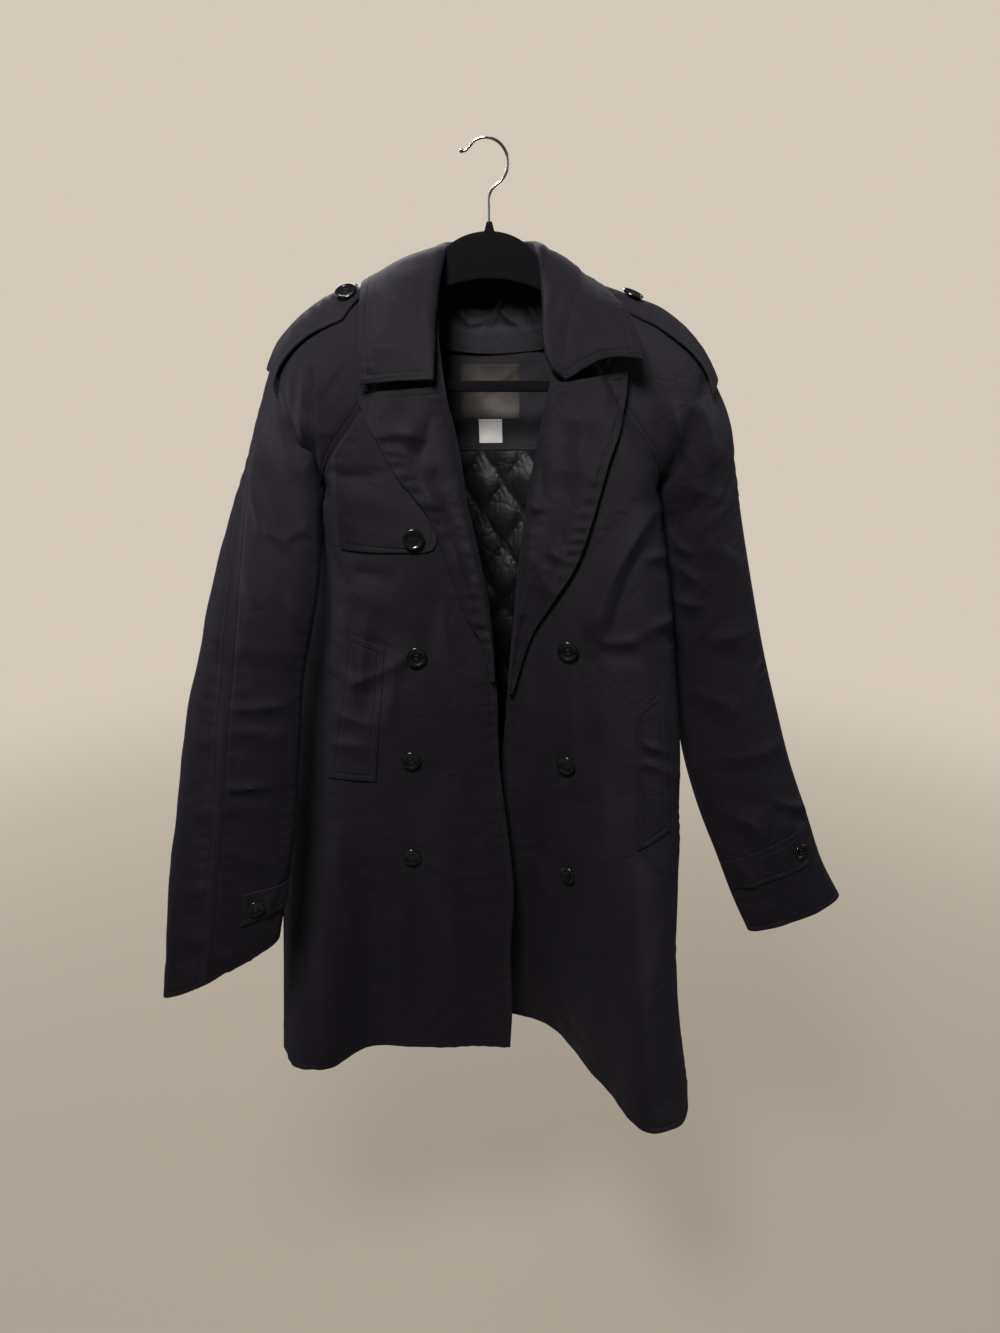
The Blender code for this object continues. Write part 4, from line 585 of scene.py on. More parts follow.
def applied(source):
    """The mesh of an object with its modifiers applied, which takes the object's place."""
    mesh = bpy.data.meshes.new_from_object(source.evaluated_get(bpy.context.evaluated_depsgraph_get()))
    bpy.data.objects.remove(source)
    return mesh


def dressed(name, mesh, finish):
    """A piece with the given mesh and finish, on the one body."""
    mesh.materials.clear()
    mesh.materials.append(FINISHES[finish])
    piece = new_object(name, mesh)
    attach(piece, "root")
    return piece


def add_piece(name, points, faces, finish, spots=None, far=None):
    """One piece with its faces turned outwards, its finish and its UV map."""
    mesh = bpy.data.meshes.new(name)
    mesh.from_pydata([tuple(p) for p in np.asarray(points, float)], [], [tuple(map(int, f)) for f in faces])
    if spots is not None:
        layer = mesh.uv_layers.new(name="cloth")
        corner = np.zeros(len(mesh.loops), int)
        mesh.loops.foreach_get("vertex_index", corner)
        layer.data.foreach_set("uv", np.asarray(spots, float)[corner].ravel())
    if far is not None:
        mesh.attributes.new("edge", "FLOAT", "POINT").data.foreach_set("value", np.asarray(far, float))
    solid = bmesh.new()
    solid.from_mesh(mesh)
    bmesh.ops.recalc_face_normals(solid, faces=solid.faces)
    solid.to_mesh(mesh)
    solid.free()
    mesh.shade_smooth()
    mesh.set_sharp_from_angle(angle=SHARP_TURN)
    return dressed(name, mesh, finish)


def declare_sheet(grid):
    """The longest column of a cut piece of cloth, measured and not kept."""
    tall = max(lengths(column)[-1] for column in grid.transpose(1, 0, 2))


# ---- finishes -----------------------------------------------------------------------------

class Tree:
    """A material's node tree, built by short calls."""

    def __init__(self, name):
        self.material = bpy.data.materials.new(name)
        self.material.use_nodes = True
        self.nodes = self.material.node_tree.nodes
        self.links = self.material.node_tree.links
        self.shader = self.nodes["Principled BSDF"]
        self.flat = self.add("ShaderNodeUVMap", uv_map="cloth").outputs["UV"]
        self.place = self.add("ShaderNodeTexCoord").outputs["Object"]

    def add(self, kind, inputs=None, **settings):
        node = self.nodes.new(kind)
        for key, value in settings.items():
            setattr(node, key, value)
        for key, value in (inputs or {}).items():
            if isinstance(value, bpy.types.NodeSocket):
                self.links.new(value, node.inputs[key])
            else:
                node.inputs[key].default_value = value
        return node

    def math(self, operation, first, second=0.0):
        return self.add("ShaderNodeMath", {0: first, 1: second}, operation=operation).outputs[0]

    def noise(self, scale, detail=2.0):
        inputs = {"Vector": self.place, "Scale": scale, "Detail": detail}
        return self.add("ShaderNodeTexNoise", inputs).outputs["Fac"]

    def blend(self, factor, first, second):
        node = self.add("ShaderNodeMix", {"Factor": factor}, data_type="RGBA")
        node.inputs[6].default_value = (*first, 1.0)
        node.inputs[7].default_value = (*second, 1.0)
        return node.outputs[2]

    def bump(self, height, distance, strength=1.0, below=None):
        inputs = {"Height": height, "Distance": distance, "Strength": strength}
        if below is not None:
            inputs["Normal"] = below
        return self.add("ShaderNodeBump", inputs).outputs["Normal"]

    def set(self, **inputs):
        for key, value in inputs.items():
            socket = self.shader.inputs[key.replace("_", " ")]
            if isinstance(value, bpy.types.NodeSocket):
                self.links.new(value, socket)
            else:
                socket.default_value = value


def cloth_finish(name, dark, light, weave, weave_depth, roughness, sheen=0.0, specular=0.35, sewn=0.0,
                 wrinkled=0.0):
    """Woven cloth: a fine diagonal weave, a soft nap, worn lighter in places, low along its stitching,
    with a net of fine wrinkles."""
    tree = Tree(name)
    worn = tree.math("ADD", tree.math("MULTIPLY", tree.noise(9.0, 3.0), 0.6),
                     tree.math("MULTIPLY", tree.noise(160.0, 2.0), 0.4))
    tree.set(Base_Color=tree.blend(worn, dark, light), Roughness=roughness)
    twill = tree.add("ShaderNodeTexWave", {"Vector": tree.flat, "Scale": weave, "Distortion": 0.6},
                     wave_type="BANDS", bands_direction="DIAGONAL").outputs["Fac"]
    surface = tree.bump(twill, weave_depth, 0.7, tree.bump(tree.noise(420.0, 2.0), 0.00025, 0.5))
    if wrinkled:
        shift = tree.add("ShaderNodeTexNoise", {"Vector": tree.place, "Scale": 11.0, "Detail": 3.0})
        bent = tree.add("ShaderNodeVectorMath", {0: shift.outputs["Color"], 1: (0.16, 0.16, 0.16)},
                        operation="MULTIPLY").outputs[0]
        bent = tree.add("ShaderNodeVectorMath", {0: tree.place, 1: bent}, operation="ADD").outputs[0]
        cells = tree.add("ShaderNodeTexVoronoi", {"Vector": bent, "Scale": 24.0}, feature="DISTANCE_TO_EDGE")
        net = tree.math("POWER", tree.math("MINIMUM", cells.outputs["Distance"], 0.16), 0.7)
        patchy = tree.math("MULTIPLY", net, tree.noise(14.0, 1.0))
        surface = tree.bump(patchy, wrinkled, 1.0, surface)
    if sewn:
        edge = tree.add("ShaderNodeAttribute", attribute_name="edge").outputs["Fac"]
        from_row = tree.math("ABSOLUTE", tree.math("SUBTRACT", edge, STITCH_INSET))
        groove = tree.math("MINIMUM", tree.math("DIVIDE", from_row, GROOVE_WIDTH), 1.0)
        surface = tree.bump(groove, sewn, 0.8, surface)
    tree.set(Normal=surface, Sheen_Roughness=0.5, Sheen_Tint=(0.72, 0.70, 1.0, 1.0),
             Specular_IOR_Level=specular)
    tree.shader.inputs["Sheen Weight"].default_value = sheen
    return tree.material


def plain_finish(name, colour, roughness, metallic=0.0, nap=0.0, sheen=0.0, coat=0.0, specular=0.5):
    tree = Tree(name)
    dust = tree.noise(70.0, 3.0)
    darker = tuple(0.82 * part for part in colour)
    tree.set(Base_Color=tree.blend(dust, darker, colour), Metallic=metallic)
    spread = tree.add("ShaderNodeMapRange", {"Value": dust, "To Min": roughness * 0.85,
                                             "To Max": min(1.0, roughness * 1.15)})
    tree.set(Roughness=spread.outputs["Result"])
    if nap:
        tree.set(Normal=tree.bump(tree.noise(900.0, 2.0), nap, 0.8))
    tree.shader.inputs["Sheen Weight"].default_value = sheen
    tree.shader.inputs["Coat Weight"].default_value = coat
    tree.shader.inputs["Specular IOR Level"].default_value = specular
    tree.shader.inputs["Coat Roughness"].default_value = 0.08
    return tree.material


STITCH_INSET = 0.0065     # from an edge to its first stitched row
GROOVE_WIDTH = 0.0022     # of the dip along that row
FINISHES = {
    "twill": cloth_finish("coat_twill", (0.0056, 0.0045, 0.0072), (0.0148, 0.0121, 0.0182), 740.0, 0.00022,
                          0.66, 0.03, 0.22, 0.0006, 0.0016),
    # Lighter than the coat's twill, partly as painted light: it stands in for light reaching the neck stand
    # and the back-neck facing in the shade under the hanger.
    "facing": cloth_finish("facing_twill_and_painted_light", (0.0100, 0.0092, 0.0122), (0.0185, 0.0172, 0.0218), 740.0, 0.00018,
                           0.62, 0.03, 0.25, 0.0, 0.0016),
    "satin": cloth_finish("quilted_satin", (0.0038, 0.0034, 0.0038), (0.0078, 0.0070, 0.0078), 1100.0,
                          0.00008, 0.42, 0.0, 0.35, 0.0, 0.0020),
    "label": cloth_finish("label_satin", (0.020, 0.017, 0.0155), (0.058, 0.049, 0.043), 1300.0, 0.00008, 0.36,
                          0.0, 0.5),
    "tab": cloth_finish("tab_tape", (0.68, 0.68, 0.67), (0.76, 0.76, 0.75), 900.0, 0.00010, 0.62),
    "button": plain_finish("button_gloss", (0.006, 0.006, 0.007), 0.18, coat=0.25),
    "velvet": plain_finish("hanger_flock", (0.0046, 0.0043, 0.0056), 0.97, nap=0.0005, sheen=0.03,
                           specular=0.1),
    "chrome": plain_finish("hook_chrome", (0.66, 0.66, 0.65), 0.14, metallic=1.0),
    "thread": plain_finish("coat_thread", (0.0112, 0.0093, 0.0138), 0.6, nap=0.0001)}

# ---- body and sleeves ---------------------------------------------------------------------

def fold_rise(folds, x, z):
    """How far the soft folds stand out at (x, z)."""
    total = 0.0
    for (top_x, top_z), (foot_x, foot_z), width, rise in folds:
        down = (top_z - z) / (top_z - foot_z)
        if 0.0 < down < 1.0:
            line_x = top_x + (foot_x - top_x) * down
            fade = min(1.0, 3.5 * down) * min(1.0, 3.5 * (1.0 - down))
            total = total + rise * fade * np.exp(-((x - line_x) / width) ** 2)
    return total


def section_curve(first, last, form, folds, way, z, count):
    """The section of a panel at one height, between two seams, with its soft folds."""
    points = [(first["x"], first["y"], z)]
    for name, y in form.at(z).items():
        points.append((first["x"] + (last["x"] - first["x"]) * (int(name[1:]) / 100), y, z))
    curve = curve_through(points + [(last["x"], last["y"], z)], count)
    ease = np.sin(np.pi * np.linspace(0.0, 1.0, count)) ** 0.5
    curve[:, 1] += way * fold_rise(folds, curve[:, 0], z) * ease
    return curve


def front_curve(side, z):
    """From the edge of a front to its raglan or side seam."""
    return section_curve(EDGE[side].at(z), SEAM[side].at(z), FRONT_FORM[side], FOLDS[side], -1, z, 160)


def back_curve(z):
    """From the left to the right seam of the back."""
    left, right = SEAM["left"].at(z), SEAM["right"].at(z)
    if z > UNDERARM_Z:
        left["y"] = right["y"] = RAGLAN_BACK.at(z)["y"]
    return section_curve(left, right, BACK_FORM, FOLDS["back"], 1, z, 240)


def heights(foot, rows):
    cap = list(np.linspace(NECK_Z, UNDERARM_Z, CAP_ROWS))
    return cap + list(np.linspace(UNDERARM_Z, foot, rows + 1))[1:]


def sleeve_seam_points(side, z):
    """The inner ends of the front and back halves at one station."""
    row = SLEEVE[side].at(z)
    body = SEAM[side].at(z)
    if z >= UNDERARM_Z - 1e-6:
        back_y = RAGLAN_BACK.at(z)["y"]
        return np.array([body["x"], body["y"], z]), np.array([body["x"], back_y, z])
    point = np.array([row["in_x"], row["in_y"], z])
    return point, point.copy()


def sleeve_halves(side, z):
    """Dense curves of the two halves at one station, each from its inner seam outwards."""
    table = SLEEVE[side]
    row = table.at(z)
    front_in, back_in = sleeve_seam_points(side, z)
    outer = np.array([row["out_x"], row["out_y"], row["out_z"]])
    middle_in = (front_in + back_in) / 2

    def middle(station):
        here = table.at(station)
        first, second = sleeve_seam_points(side, station)
        return ((first + second) / 2 + np.array([here["out_x"], here["out_y"], here["out_z"]])) / 2

    axis = middle(max(z - 0.012, table.station[0])) - middle(min(z + 0.012, table.station[-1]))
    forward = np.cross(axis, outer - middle_in)
    forward /= np.linalg.norm(forward)
    if forward[1] > 0:
        forward = -forward

    def swell(s):
        """Half depth along the flat width: an open arch on the shoulder, an ellipse on the arm."""
        arch = 2.0 * s * np.sqrt(np.clip(1.0 - s * s, 0.0, 1.0))
        oval = np.sqrt(np.clip(1.0 - (2.0 * s - 1.0) ** 2, 0.0, 1.0))
        return arch * (1.0 - row["round"]) + oval * row["round"]

    def face(start, depth, stop):
        s = (1.0 - np.cos(np.linspace(0.0, math.acos(1.0 - 2.0 * stop), 120))) / 2.0
        return start + np.outer(s, outer - start) + np.outer(swell(s) * depth, forward)

    whole_front = face(front_in, row["front"], 1.0)
    whole_back = face(back_in, -row["back"], 1.0)
    seam = lengths(whole_front)[-1] * row["seam"]
    front = walk(whole_front, np.linspace(0.0, seam, 120))
    rest = walk(whole_front, np.linspace(seam, lengths(whole_front)[-1], 30))
    if row["seam"] > 0.995:
        return front, whole_back
    return front, np.concatenate([whole_back, rest[::-1][1:]])


def pucker(cloth, edge, seed, rise=0.0009, reach=0.013):
    """Small puckers that the stitching draws in across a seam."""
    spread = np.random.RandomState(seed)
    rows = cloth.grid.shape[0]
    if edge in "ab":
        distance = cloth.across if edge == "a" else cloth.across[:, -1:] - cloth.across
        along = cloth.down[:, :1] + np.zeros_like(distance)
    else:
        distance = cloth.down if edge == "c" else cloth.down[-1:] - cloth.down
        along = cloth.across[rows // 2:rows // 2 + 1] + np.zeros_like(distance)
    phase = spread.uniform(0, 2 * math.pi, 3)
    wave = (np.sin(2 * math.pi * along / 0.0135 + phase[0] + 1.5 * np.sin(along * 61 + phase[1]))
            * (0.55 + 0.45 * np.sin(along * 37 + phase[2])))
    return rise * wave * np.exp(-((distance - 0.007) / reach) ** 2)


def table_rise(cloth, table):
    """Creases given in the frame, pressed into whatever points fall on them there."""
    return crease_rise(in_frame(cloth.grid), table)


def behind_rise(cloth, table):
    """Creases given as x and z in millimetres."""
    return crease_rise(cloth.grid[..., [0, 2]] * 1000, table)


def make_body_and_sleeves():
    cloths = {}
    for side, table, seed in (("left", LEFT_FRONT_CREASES, 3), ("right", RIGHT_FRONT_CREASES, 4)):
        rows = [even(front_curve(side, z), FRONT_COLUMNS) for z in heights(HEM_Z, BODY_ROWS)]
        front = Cloth(side + "_front", rows, (0, -1, 0))
        front.press(table_rise(front, table) + rumple(front.across, front.down, seed)
                    + small_creases(front, seed, 60) + pucker(front, "b", seed), "bc")
        front.press(pucker(front, "a", seed + 20, 0.0006, 0.008)
                    + pucker(front, "d", seed + 21, 0.0006), "bc")
        cloths[front.name] = front
    back = Cloth("back", [even(back_curve(z), BACK_COLUMNS) for z in heights(HEM_Z, BODY_ROWS)], (0, 1, 0))
    back.press(behind_rise(back, BACK_CREASES) + rumple(back.across, back.down, 7)
               + small_creases(back, 7, 80)
               + pucker(back, "a", 8) + pucker(back, "b", 9), "abc")
    cloths["back"] = back
    for side, table, seed in (("left", LEFT_SLEEVE_CREASES, 11), ("right", RIGHT_SLEEVE_CREASES, 12)):
        stations = heights(SLEEVE[side].station[0], SLEEVE_ROWS)
        halves = [sleeve_halves(side, z) for z in stations]
        front = Cloth(side + "_sleeve_front", [even(half[0], SLEEVE_COLUMNS) for half in halves], (0, -1, 0))
        rear = Cloth(side + "_sleeve_back", [even(half[1], SLEEVE_COLUMNS + 8) for half in halves], (0, 1, 0))
        front.press(table_rise(front, table) + rumple(front.across, front.down, seed)
                    + small_creases(front, seed, 45) + pucker(front, "b", seed)
                    + pucker(front, "a", seed + 30), "abc")
        rear.press(behind_rise(rear, SLEEVE_BACK_CREASES) + rumple(rear.across, rear.down, seed + 2)
                   + small_creases(rear, seed + 2, 45) + pucker(rear, "b", seed), "abc")
        cloths[front.name], cloths[rear.name] = front, rear
    for cloth in cloths.values():
        piece = cloth.build()
        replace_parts(piece, cloth.name)
        if cloth.name == "right_sleeve_back":
            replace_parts(piece, "right_sleeve_cap_back")
        declare_sheet(cloth.grid)
    return cloths


def depth_on(rows, z, x):
    """The Y of a panel at (x, z), between its rows of points."""
    levels = -rows[:, 0, 2]
    i = int(np.clip(np.searchsorted(levels, -z) - 1, 0, len(levels) - 2))
    share = (-z - levels[i]) / (levels[i + 1] - levels[i])
    pair = []
    for row in rows[i:i + 2]:
        line = row if row[0, 0] < row[-1, 0] else row[::-1]
        pair.append(np.interp(x, line[:, 0], line[:, 1]))
    return pair[0] * (1.0 - share) + pair[1] * share


def depths(rows, points):
    """The Y of a panel at every (x, z) of a grid of points."""
    flat = [depth_on(rows, z, x) for x, z in points.reshape(-1, 2)]
    return np.array(flat).reshape(points.shape[:2])


# ---- what lies on the fronts --------------------------------------------------------------

def make_lapel(side, cloths, creases, seed):
    """The turned-back edge: it stands out at the roll line and lies down to its free edge."""
    table = LAPEL[side]
    rows, columns = 120, 42
    spots = np.zeros((rows, columns, 2))
    rise = np.zeros((rows, columns))
    shares = np.linspace(0.0, 1.0, columns)
    for i, station in enumerate(np.linspace(0, table.station[-1], rows)):
        row = table.at(station)
        narrow = min(1.0, abs(row["free_x"] - row["roll_x"]) / 0.03)
        spots[i, :, 0] = row["roll_x"] + (row["free_x"] - row["roll_x"]) * shares
        spots[i, :, 1] = row["roll_z"] + (row["free_z"] - row["roll_z"]) * shares
        roll = (ROLL_LIFT - LAPEL_LIFT) * narrow * np.exp(-((shares - 0.16) / 0.2) ** 2)
        start = np.clip(shares / 0.10, 0.0, 1.0)
        rise[i] = (LAPEL_LIFT + roll) * np.sqrt(1.0 - (1.0 - start) ** 2)
    front = depths(cloths[side + "_front"].grid, spots)
    grid = np.stack([spots[..., 0], front - rise - DOUBLE, spots[..., 1]], axis=2)
    lapel = Cloth(side + "_lapel", grid, (0, -1, 0), DOUBLE)
    lapel.press(table_rise(lapel, creases) + rumple(lapel.across, lapel.down, seed, 0.0007)
                + small_creases(lapel, seed, 22, 0.28)
                + pucker(lapel, "b", seed, 0.0011, 0.008), "ad")
    return finish_cloth(lapel)


def finish_cloth(cloth):
    """Build a cloth and let it stand for its node."""
    piece = cloth.build()
    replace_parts(piece, cloth.name)
    declare_sheet(cloth.grid)
    return cloth


def lay_on(name, front, spots, lift, seed):
    """A single layer lying on a panel at the given (x, z) places."""
    grid = np.stack([spots[..., 0], depths(front, spots) - lift - CLOTH, spots[..., 1]], axis=2)
    cloth = Cloth(name, grid, (0, -1, 0))
    cloth.press(rumple(cloth.across, cloth.down, seed, 0.0004), "")
    return cloth


def make_welt(side, cloths, seed):
    corners = WELT[side]
    (top_a, top_b), (foot_a, foot_b) = np.array(corners["top"]), np.array(corners["foot"])
    v, u = np.meshgrid(np.linspace(0, 1, 80), np.linspace(0, 1, 20), indexing="ij")
    v, u = v[..., None], u[..., None]
    spots = (top_a * (1 - u) + top_b * u) * (1 - v) + (foot_a * (1 - u) + foot_b * u) * v
    welt = lay_on(side + "_pocket_welt", cloths[side + "_front"].grid, spots, LIE, seed)
    return finish_cloth(welt)


def make_flap(cloths):
    """Storm flap: from the raglan seam to under the lapel, with a rounded lower corner."""
    rows, columns = 74, 64
    spots = np.zeros((rows, columns, 2))
    for i, z in enumerate(np.linspace(FLAP["top_z"], FLAP["foot_z"], rows)):
        start = max(SEAM["left"].at(z)["x"] + FLAP["seam_gap"], FLAP["outer_x"])
        drop = max(0.0, FLAP["corner"] - (z - FLAP["foot_z"]))
        stop = FLAP["inner_x"] - (FLAP["corner"] - math.sqrt(FLAP["corner"] ** 2 - drop ** 2))
        spots[i, :, 0] = np.linspace(start, stop, columns)
        spots[i, :, 1] = z
    flap = lay_on("storm_flap", cloths["left_front"].grid, spots, LIE + STRAP_SPACE, 31)
    return finish_cloth(flap)


# ---- what lies on the sleeves -------------------------------------------------------------

def at_station(side, half, z):
    """The points of one half of a sleeve at a station, between its rows."""
    stations = np.array(heights(SLEEVE[side].station[0], SLEEVE_ROWS))
    row = float(np.interp(-z, -stations, np.arange(len(stations))))
    k, share = int(row), row - int(row)
    return half.grid[k] * (1 - share) + half.grid[k + 1] * share


def make_epaulette(side, cloths):
    """A strap over the shoulder line, pointed at the neck."""
    rows, columns = 90, 44
    own = STRAP[side]
    ahead = np.linspace(*own["front"], rows)
    grid = np.zeros((rows, columns, 3))
    for i, z in enumerate(np.linspace(own["first"], EPAULETTE["last"], rows)):
        before = at_station(side, cloths[side + "_sleeve_front"], z)
        behind = at_station(side, cloths[side + "_sleeve_back"], z)
        over = np.concatenate([before, behind[::-1][1:]])
        ridge = lengths(before)[-1]
        middle = (EPAULETTE["behind"] - ahead[i]) / 2
        half = (EPAULETTE["behind"] + ahead[i]) / 2
        half *= min(1.0, EPAULETTE["point"]
                    + (1.0 - EPAULETTE["point"]) * i / (rows * EPAULETTE["taper"]))
        grid[i] = walk(over, ridge + np.linspace(middle - half, middle + half, columns))
    flat = Cloth(side + "_epaulette", grid, (0, -0.5, 1), DOUBLE)
    outer = smooth_step(np.linspace(0.0, 1.0, rows), 0.25, 1.0)[:, None]
    before = smooth_step(np.linspace(1.0, 0.0, columns), 0.35, 1.0)[None, :]
    lift = LIE + DOUBLE + STRAP_SPACE + STRAP_LIFT * outer * before
    strap = Cloth(flat.name, flat.grid + flat.out * lift[..., None], flat.outward, DOUBLE)
    strap.press(rumple(strap.across, strap.down, 41 if side == "left" else 42, 0.0006), "")
    return finish_cloth(strap)


def make_cuff_tab(side, cloths):
    tab = TAB[side]
    rows, columns = 26, 60
    grid = np.zeros((rows, columns, 3))
    for i, z in enumerate(np.linspace(tab["first"], tab["last"], rows)):
        curve = at_station(side, cloths[side + "_sleeve_front"], z)
        total = lengths(curve)[-1] / SLEEVE[side].at(z)["seam"]
        grid[i] = walk(curve, np.linspace(tab["start"], tab["stop"], columns) * total)
    flat = Cloth(side + "_cuff_tab", grid, (0, -1, 0))
    strap = Cloth(flat.name, flat.grid + flat.out * (LIE + CLOTH), flat.outward)
    return finish_cloth(strap)


# ---- collar, stand and inside -------------------------------------------------------------

RIGHT_END_HOLLOW = 0.0075   # how far the lower edge of the right collar end bows up


def make_collar():
    """The fall of the collar, with the roll of its fold turned down inside the neck."""
    rows, columns = 260, 52
    grid = np.zeros((rows, columns, 3))
    for i, station in enumerate(np.linspace(-7, 7, rows)):
        row = COLLAR.at(station)
        fold = np.array([row["fold_x"], row["fold_y"], row["fold_z"]])
        edge = np.array([row["edge_x"], row["edge_y"], row["edge_z"]])
        on_chest = smooth_step(abs(station), 3.0, 4.0)
        at_back = 1.0 - smooth_step(abs(station), 1.0, 2.0)
        up = np.array([0.0, 0.0, 1.0]) * (1 - on_chest) * (1 - at_back)
        up = up + np.array([0.0, -0.75, 0.5]) * on_chest + np.array([0.0, 0.7, 0.7]) * at_back
        fall = edge - fold
        section = []
        for u in np.linspace(0.0, 1.0, 7):
            rise = row["crown"] * math.sin(math.pi * min(1.0, u + 0.12)) ** 0.8
            hollow = RIGHT_END_HOLLOW * math.sin(math.pi * u) * smooth_step(station, 5.2, 7.0)
            section.append(fold + fall * u + up * rise + np.array([0.0, 0.0, hollow]))
        away = fall / np.linalg.norm(fall)
        deep = up / np.linalg.norm(up)
        roll = [fold - away * 0.0022 - deep * 0.0085, fold - away * 0.0034 - deep * 0.0035,
                fold - away * 0.0022 + deep * 0.0008]
        grid[i] = even(curve_through(roll + section), columns)
    collar = Cloth("collar", grid, (0, -0.3, 1), DOUBLE)
    collar.press(table_rise(collar, COLLAR_CREASES) + rumple(collar.across, collar.down, 51, 0.0008)
                 + small_creases(collar, 51, 34, 0.26)
                 + pucker(collar, "b", 52, 0.0005, 0.006), "a")
    return finish_cloth(collar)


def make_stand(collar):
    """Neck stand: hangs inside the neck from the collar's fold, wrinkled, with a stitched band."""
    rows, columns = 130, 44
    reach = STAND_FOOT.station[-1]
    stations = np.linspace(-7, 7, len(collar.grid))
    under_fold = collar.grid[:, 5] - collar.out[:, 5] * DOUBLE
    grid = np.zeros((rows, columns, 3))
    for i, station in enumerate(np.linspace(-reach, reach, rows)):
        row = STAND_FOOT.at(station)
        foot = np.array([row["x"], row["y"], row["z"]])
        top = np.array([np.interp(station, stations, under_fold[:, axis]) for axis in range(3)])
        for j, u in enumerate(np.linspace(0.0, 1.0, columns)):
            grid[i, j] = top + (foot - top) * np.array([u, u ** 1.5, u])
    stand = Cloth("collar_stand", grid, (0, -1, 0), INSIDE, "facing")
    share = np.linspace(0.0, 1.0, columns)[None, :] + np.zeros((rows, 1))
    band = 0.0009 * smooth_step(share, 0.765, 0.785)
    stand.press(table_rise(stand, STAND_CREASES) * (1 - 0.82 * smooth_step(share, 0.62, 0.80)) + band
                + rumple(stand.across, stand.down, 61, 0.0006), "")
    return finish_cloth(stand)


def inside_back(back, spots, depth):
    """Points inside the back at every (x, z), a depth in from its outer face."""
    return np.stack([spots[..., 0], depths(back.grid, spots) - depth, spots[..., 1]], axis=2)


def between(reach, top, foot, rows, columns, lean=0.0):
    z, x = np.meshgrid(np.linspace(top, foot, rows), np.linspace(*reach, columns), indexing="ij")
    return np.stack([x - lean * (z - top), z], axis=2)


def make_inside(back):
    """Back-neck facing, quilted lining below it, the label and the size tab."""
    facing_spots = between(FACING_REACH, FACING_TOP, FACING_FOOT, 60, 90)
    facing = Cloth("back_neck_facing", inside_back(back, facing_spots, FACING_DEPTH + INSIDE), (0, -1, 0),
                   INSIDE, "facing")
    facing.press(rumple(facing.across, facing.down, 71, 0.0003), "")
    finish_cloth(facing)

    foot = LINING_TOP - (LINING_ROWS - 1) * DIAMOND_H / 2
    half = (LINING_COLUMNS - 1) * DIAMOND_W / 4
    spots = between((BACK_MIDDLE - half, BACK_MIDDLE + half), LINING_TOP, foot, 300, 104)
    one = (spots[..., 0] - BACK_MIDDLE + half) / DIAMOND_W
    two = (LINING_TOP - spots[..., 1]) / DIAMOND_H
    hollow = np.abs(np.sin(math.pi * (one + two))) * np.abs(np.sin(math.pi * (one - two)))
    crinkle = 0.0006 * np.sin(spots[..., 0] * 900 + 3 * np.sin(spots[..., 1] * 210)) * (1 - hollow) ** 2
    lining = inside_back(back, spots, LINING_DEPTH + INSIDE)
    lining[..., 1] -= PUFF * hollow ** 0.6 + crinkle
    cloth = Cloth("quilted_lining", lining, (0, -1, 0), INSIDE, "satin")
    piece = cloth.build()
    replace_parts(piece, "quilted_lining")

    on_facing = FACING_DEPTH + INSIDE + LIE
    spots = between(LABEL["reach"], LABEL["top"], LABEL["foot"], 44, 48)
    label = Cloth("neck_label", inside_back(back, spots, on_facing + LABEL["thick"]), (0, -1, 0),
                  LABEL["thick"], "label")
    label.press(rumple(label.across, label.down, 81, 0.0005), "")
    finish_cloth(label)
    spots = between(SIZE_TAB["reach"], SIZE_TAB["top"], SIZE_TAB["foot"], 20, 20, SIZE_TAB["lean"])
    tab = Cloth("size_tab", inside_back(back, spots, on_facing + SIZE_TAB["thick"]), (0, -1, 0),
                SIZE_TAB["thick"], "tab")
    tab.press(rumple(tab.across, tab.down, 82, 0.0003), "")
    finish_cloth(tab)
    return dict(facing=facing, lining=cloth, label=label, tab=tab)


# ---- buttons ------------------------------------------------------------------------------

BUTTON_HOLES = [(0.20, 0.20), (-0.20, 0.20), (-0.20, -0.20), (0.20, -0.20)]   # shares of the radius
HOLE_R = 0.105            # share of the radius
THREAD_HALF, SHANK_HALF = 0.00032, 0.0016   # half widths
SHANK_ENDS = (-0.0012, 0.0003)
THREADS = []              # sewing threads of every button: their points, and half width


@functools.lru_cache(maxsize=None)
def button_form(radius):
    """A turned button with a raised rim, a dished middle and four holes."""
    sides = 48
    profile = [(0.62, 0.0), (0.86, 0.12), (0.97, 0.36), (1.0, 0.60), (0.98, 0.80), (0.93, 0.95),
               (0.86, 1.0), (0.78, 0.94), (0.71, 0.78), (0.64, 0.68), (0.45, 0.62)]
    form = bmesh.new()
    rings = []
    for share, height in profile:
        ring = []
        for k in range(sides):
            angle = 2 * math.pi * k / sides
            ring.append(form.verts.new((math.cos(angle) * share * radius, math.sin(angle) * share * radius,
                                        height * BUTTON_THICK)))
        rings.append(ring)
    for low, high in zip(rings, rings[1:]):
        for k in range(sides):
            after = (k + 1) % sides
            form.faces.new((low[k], low[after], high[after], high[k]))
    form.faces.new(rings[0][::-1])
    form.faces.new(rings[-1])
    mesh = bpy.data.meshes.new("button_form")
    form.to_mesh(mesh)
    form.free()
    return drill(mesh, radius)


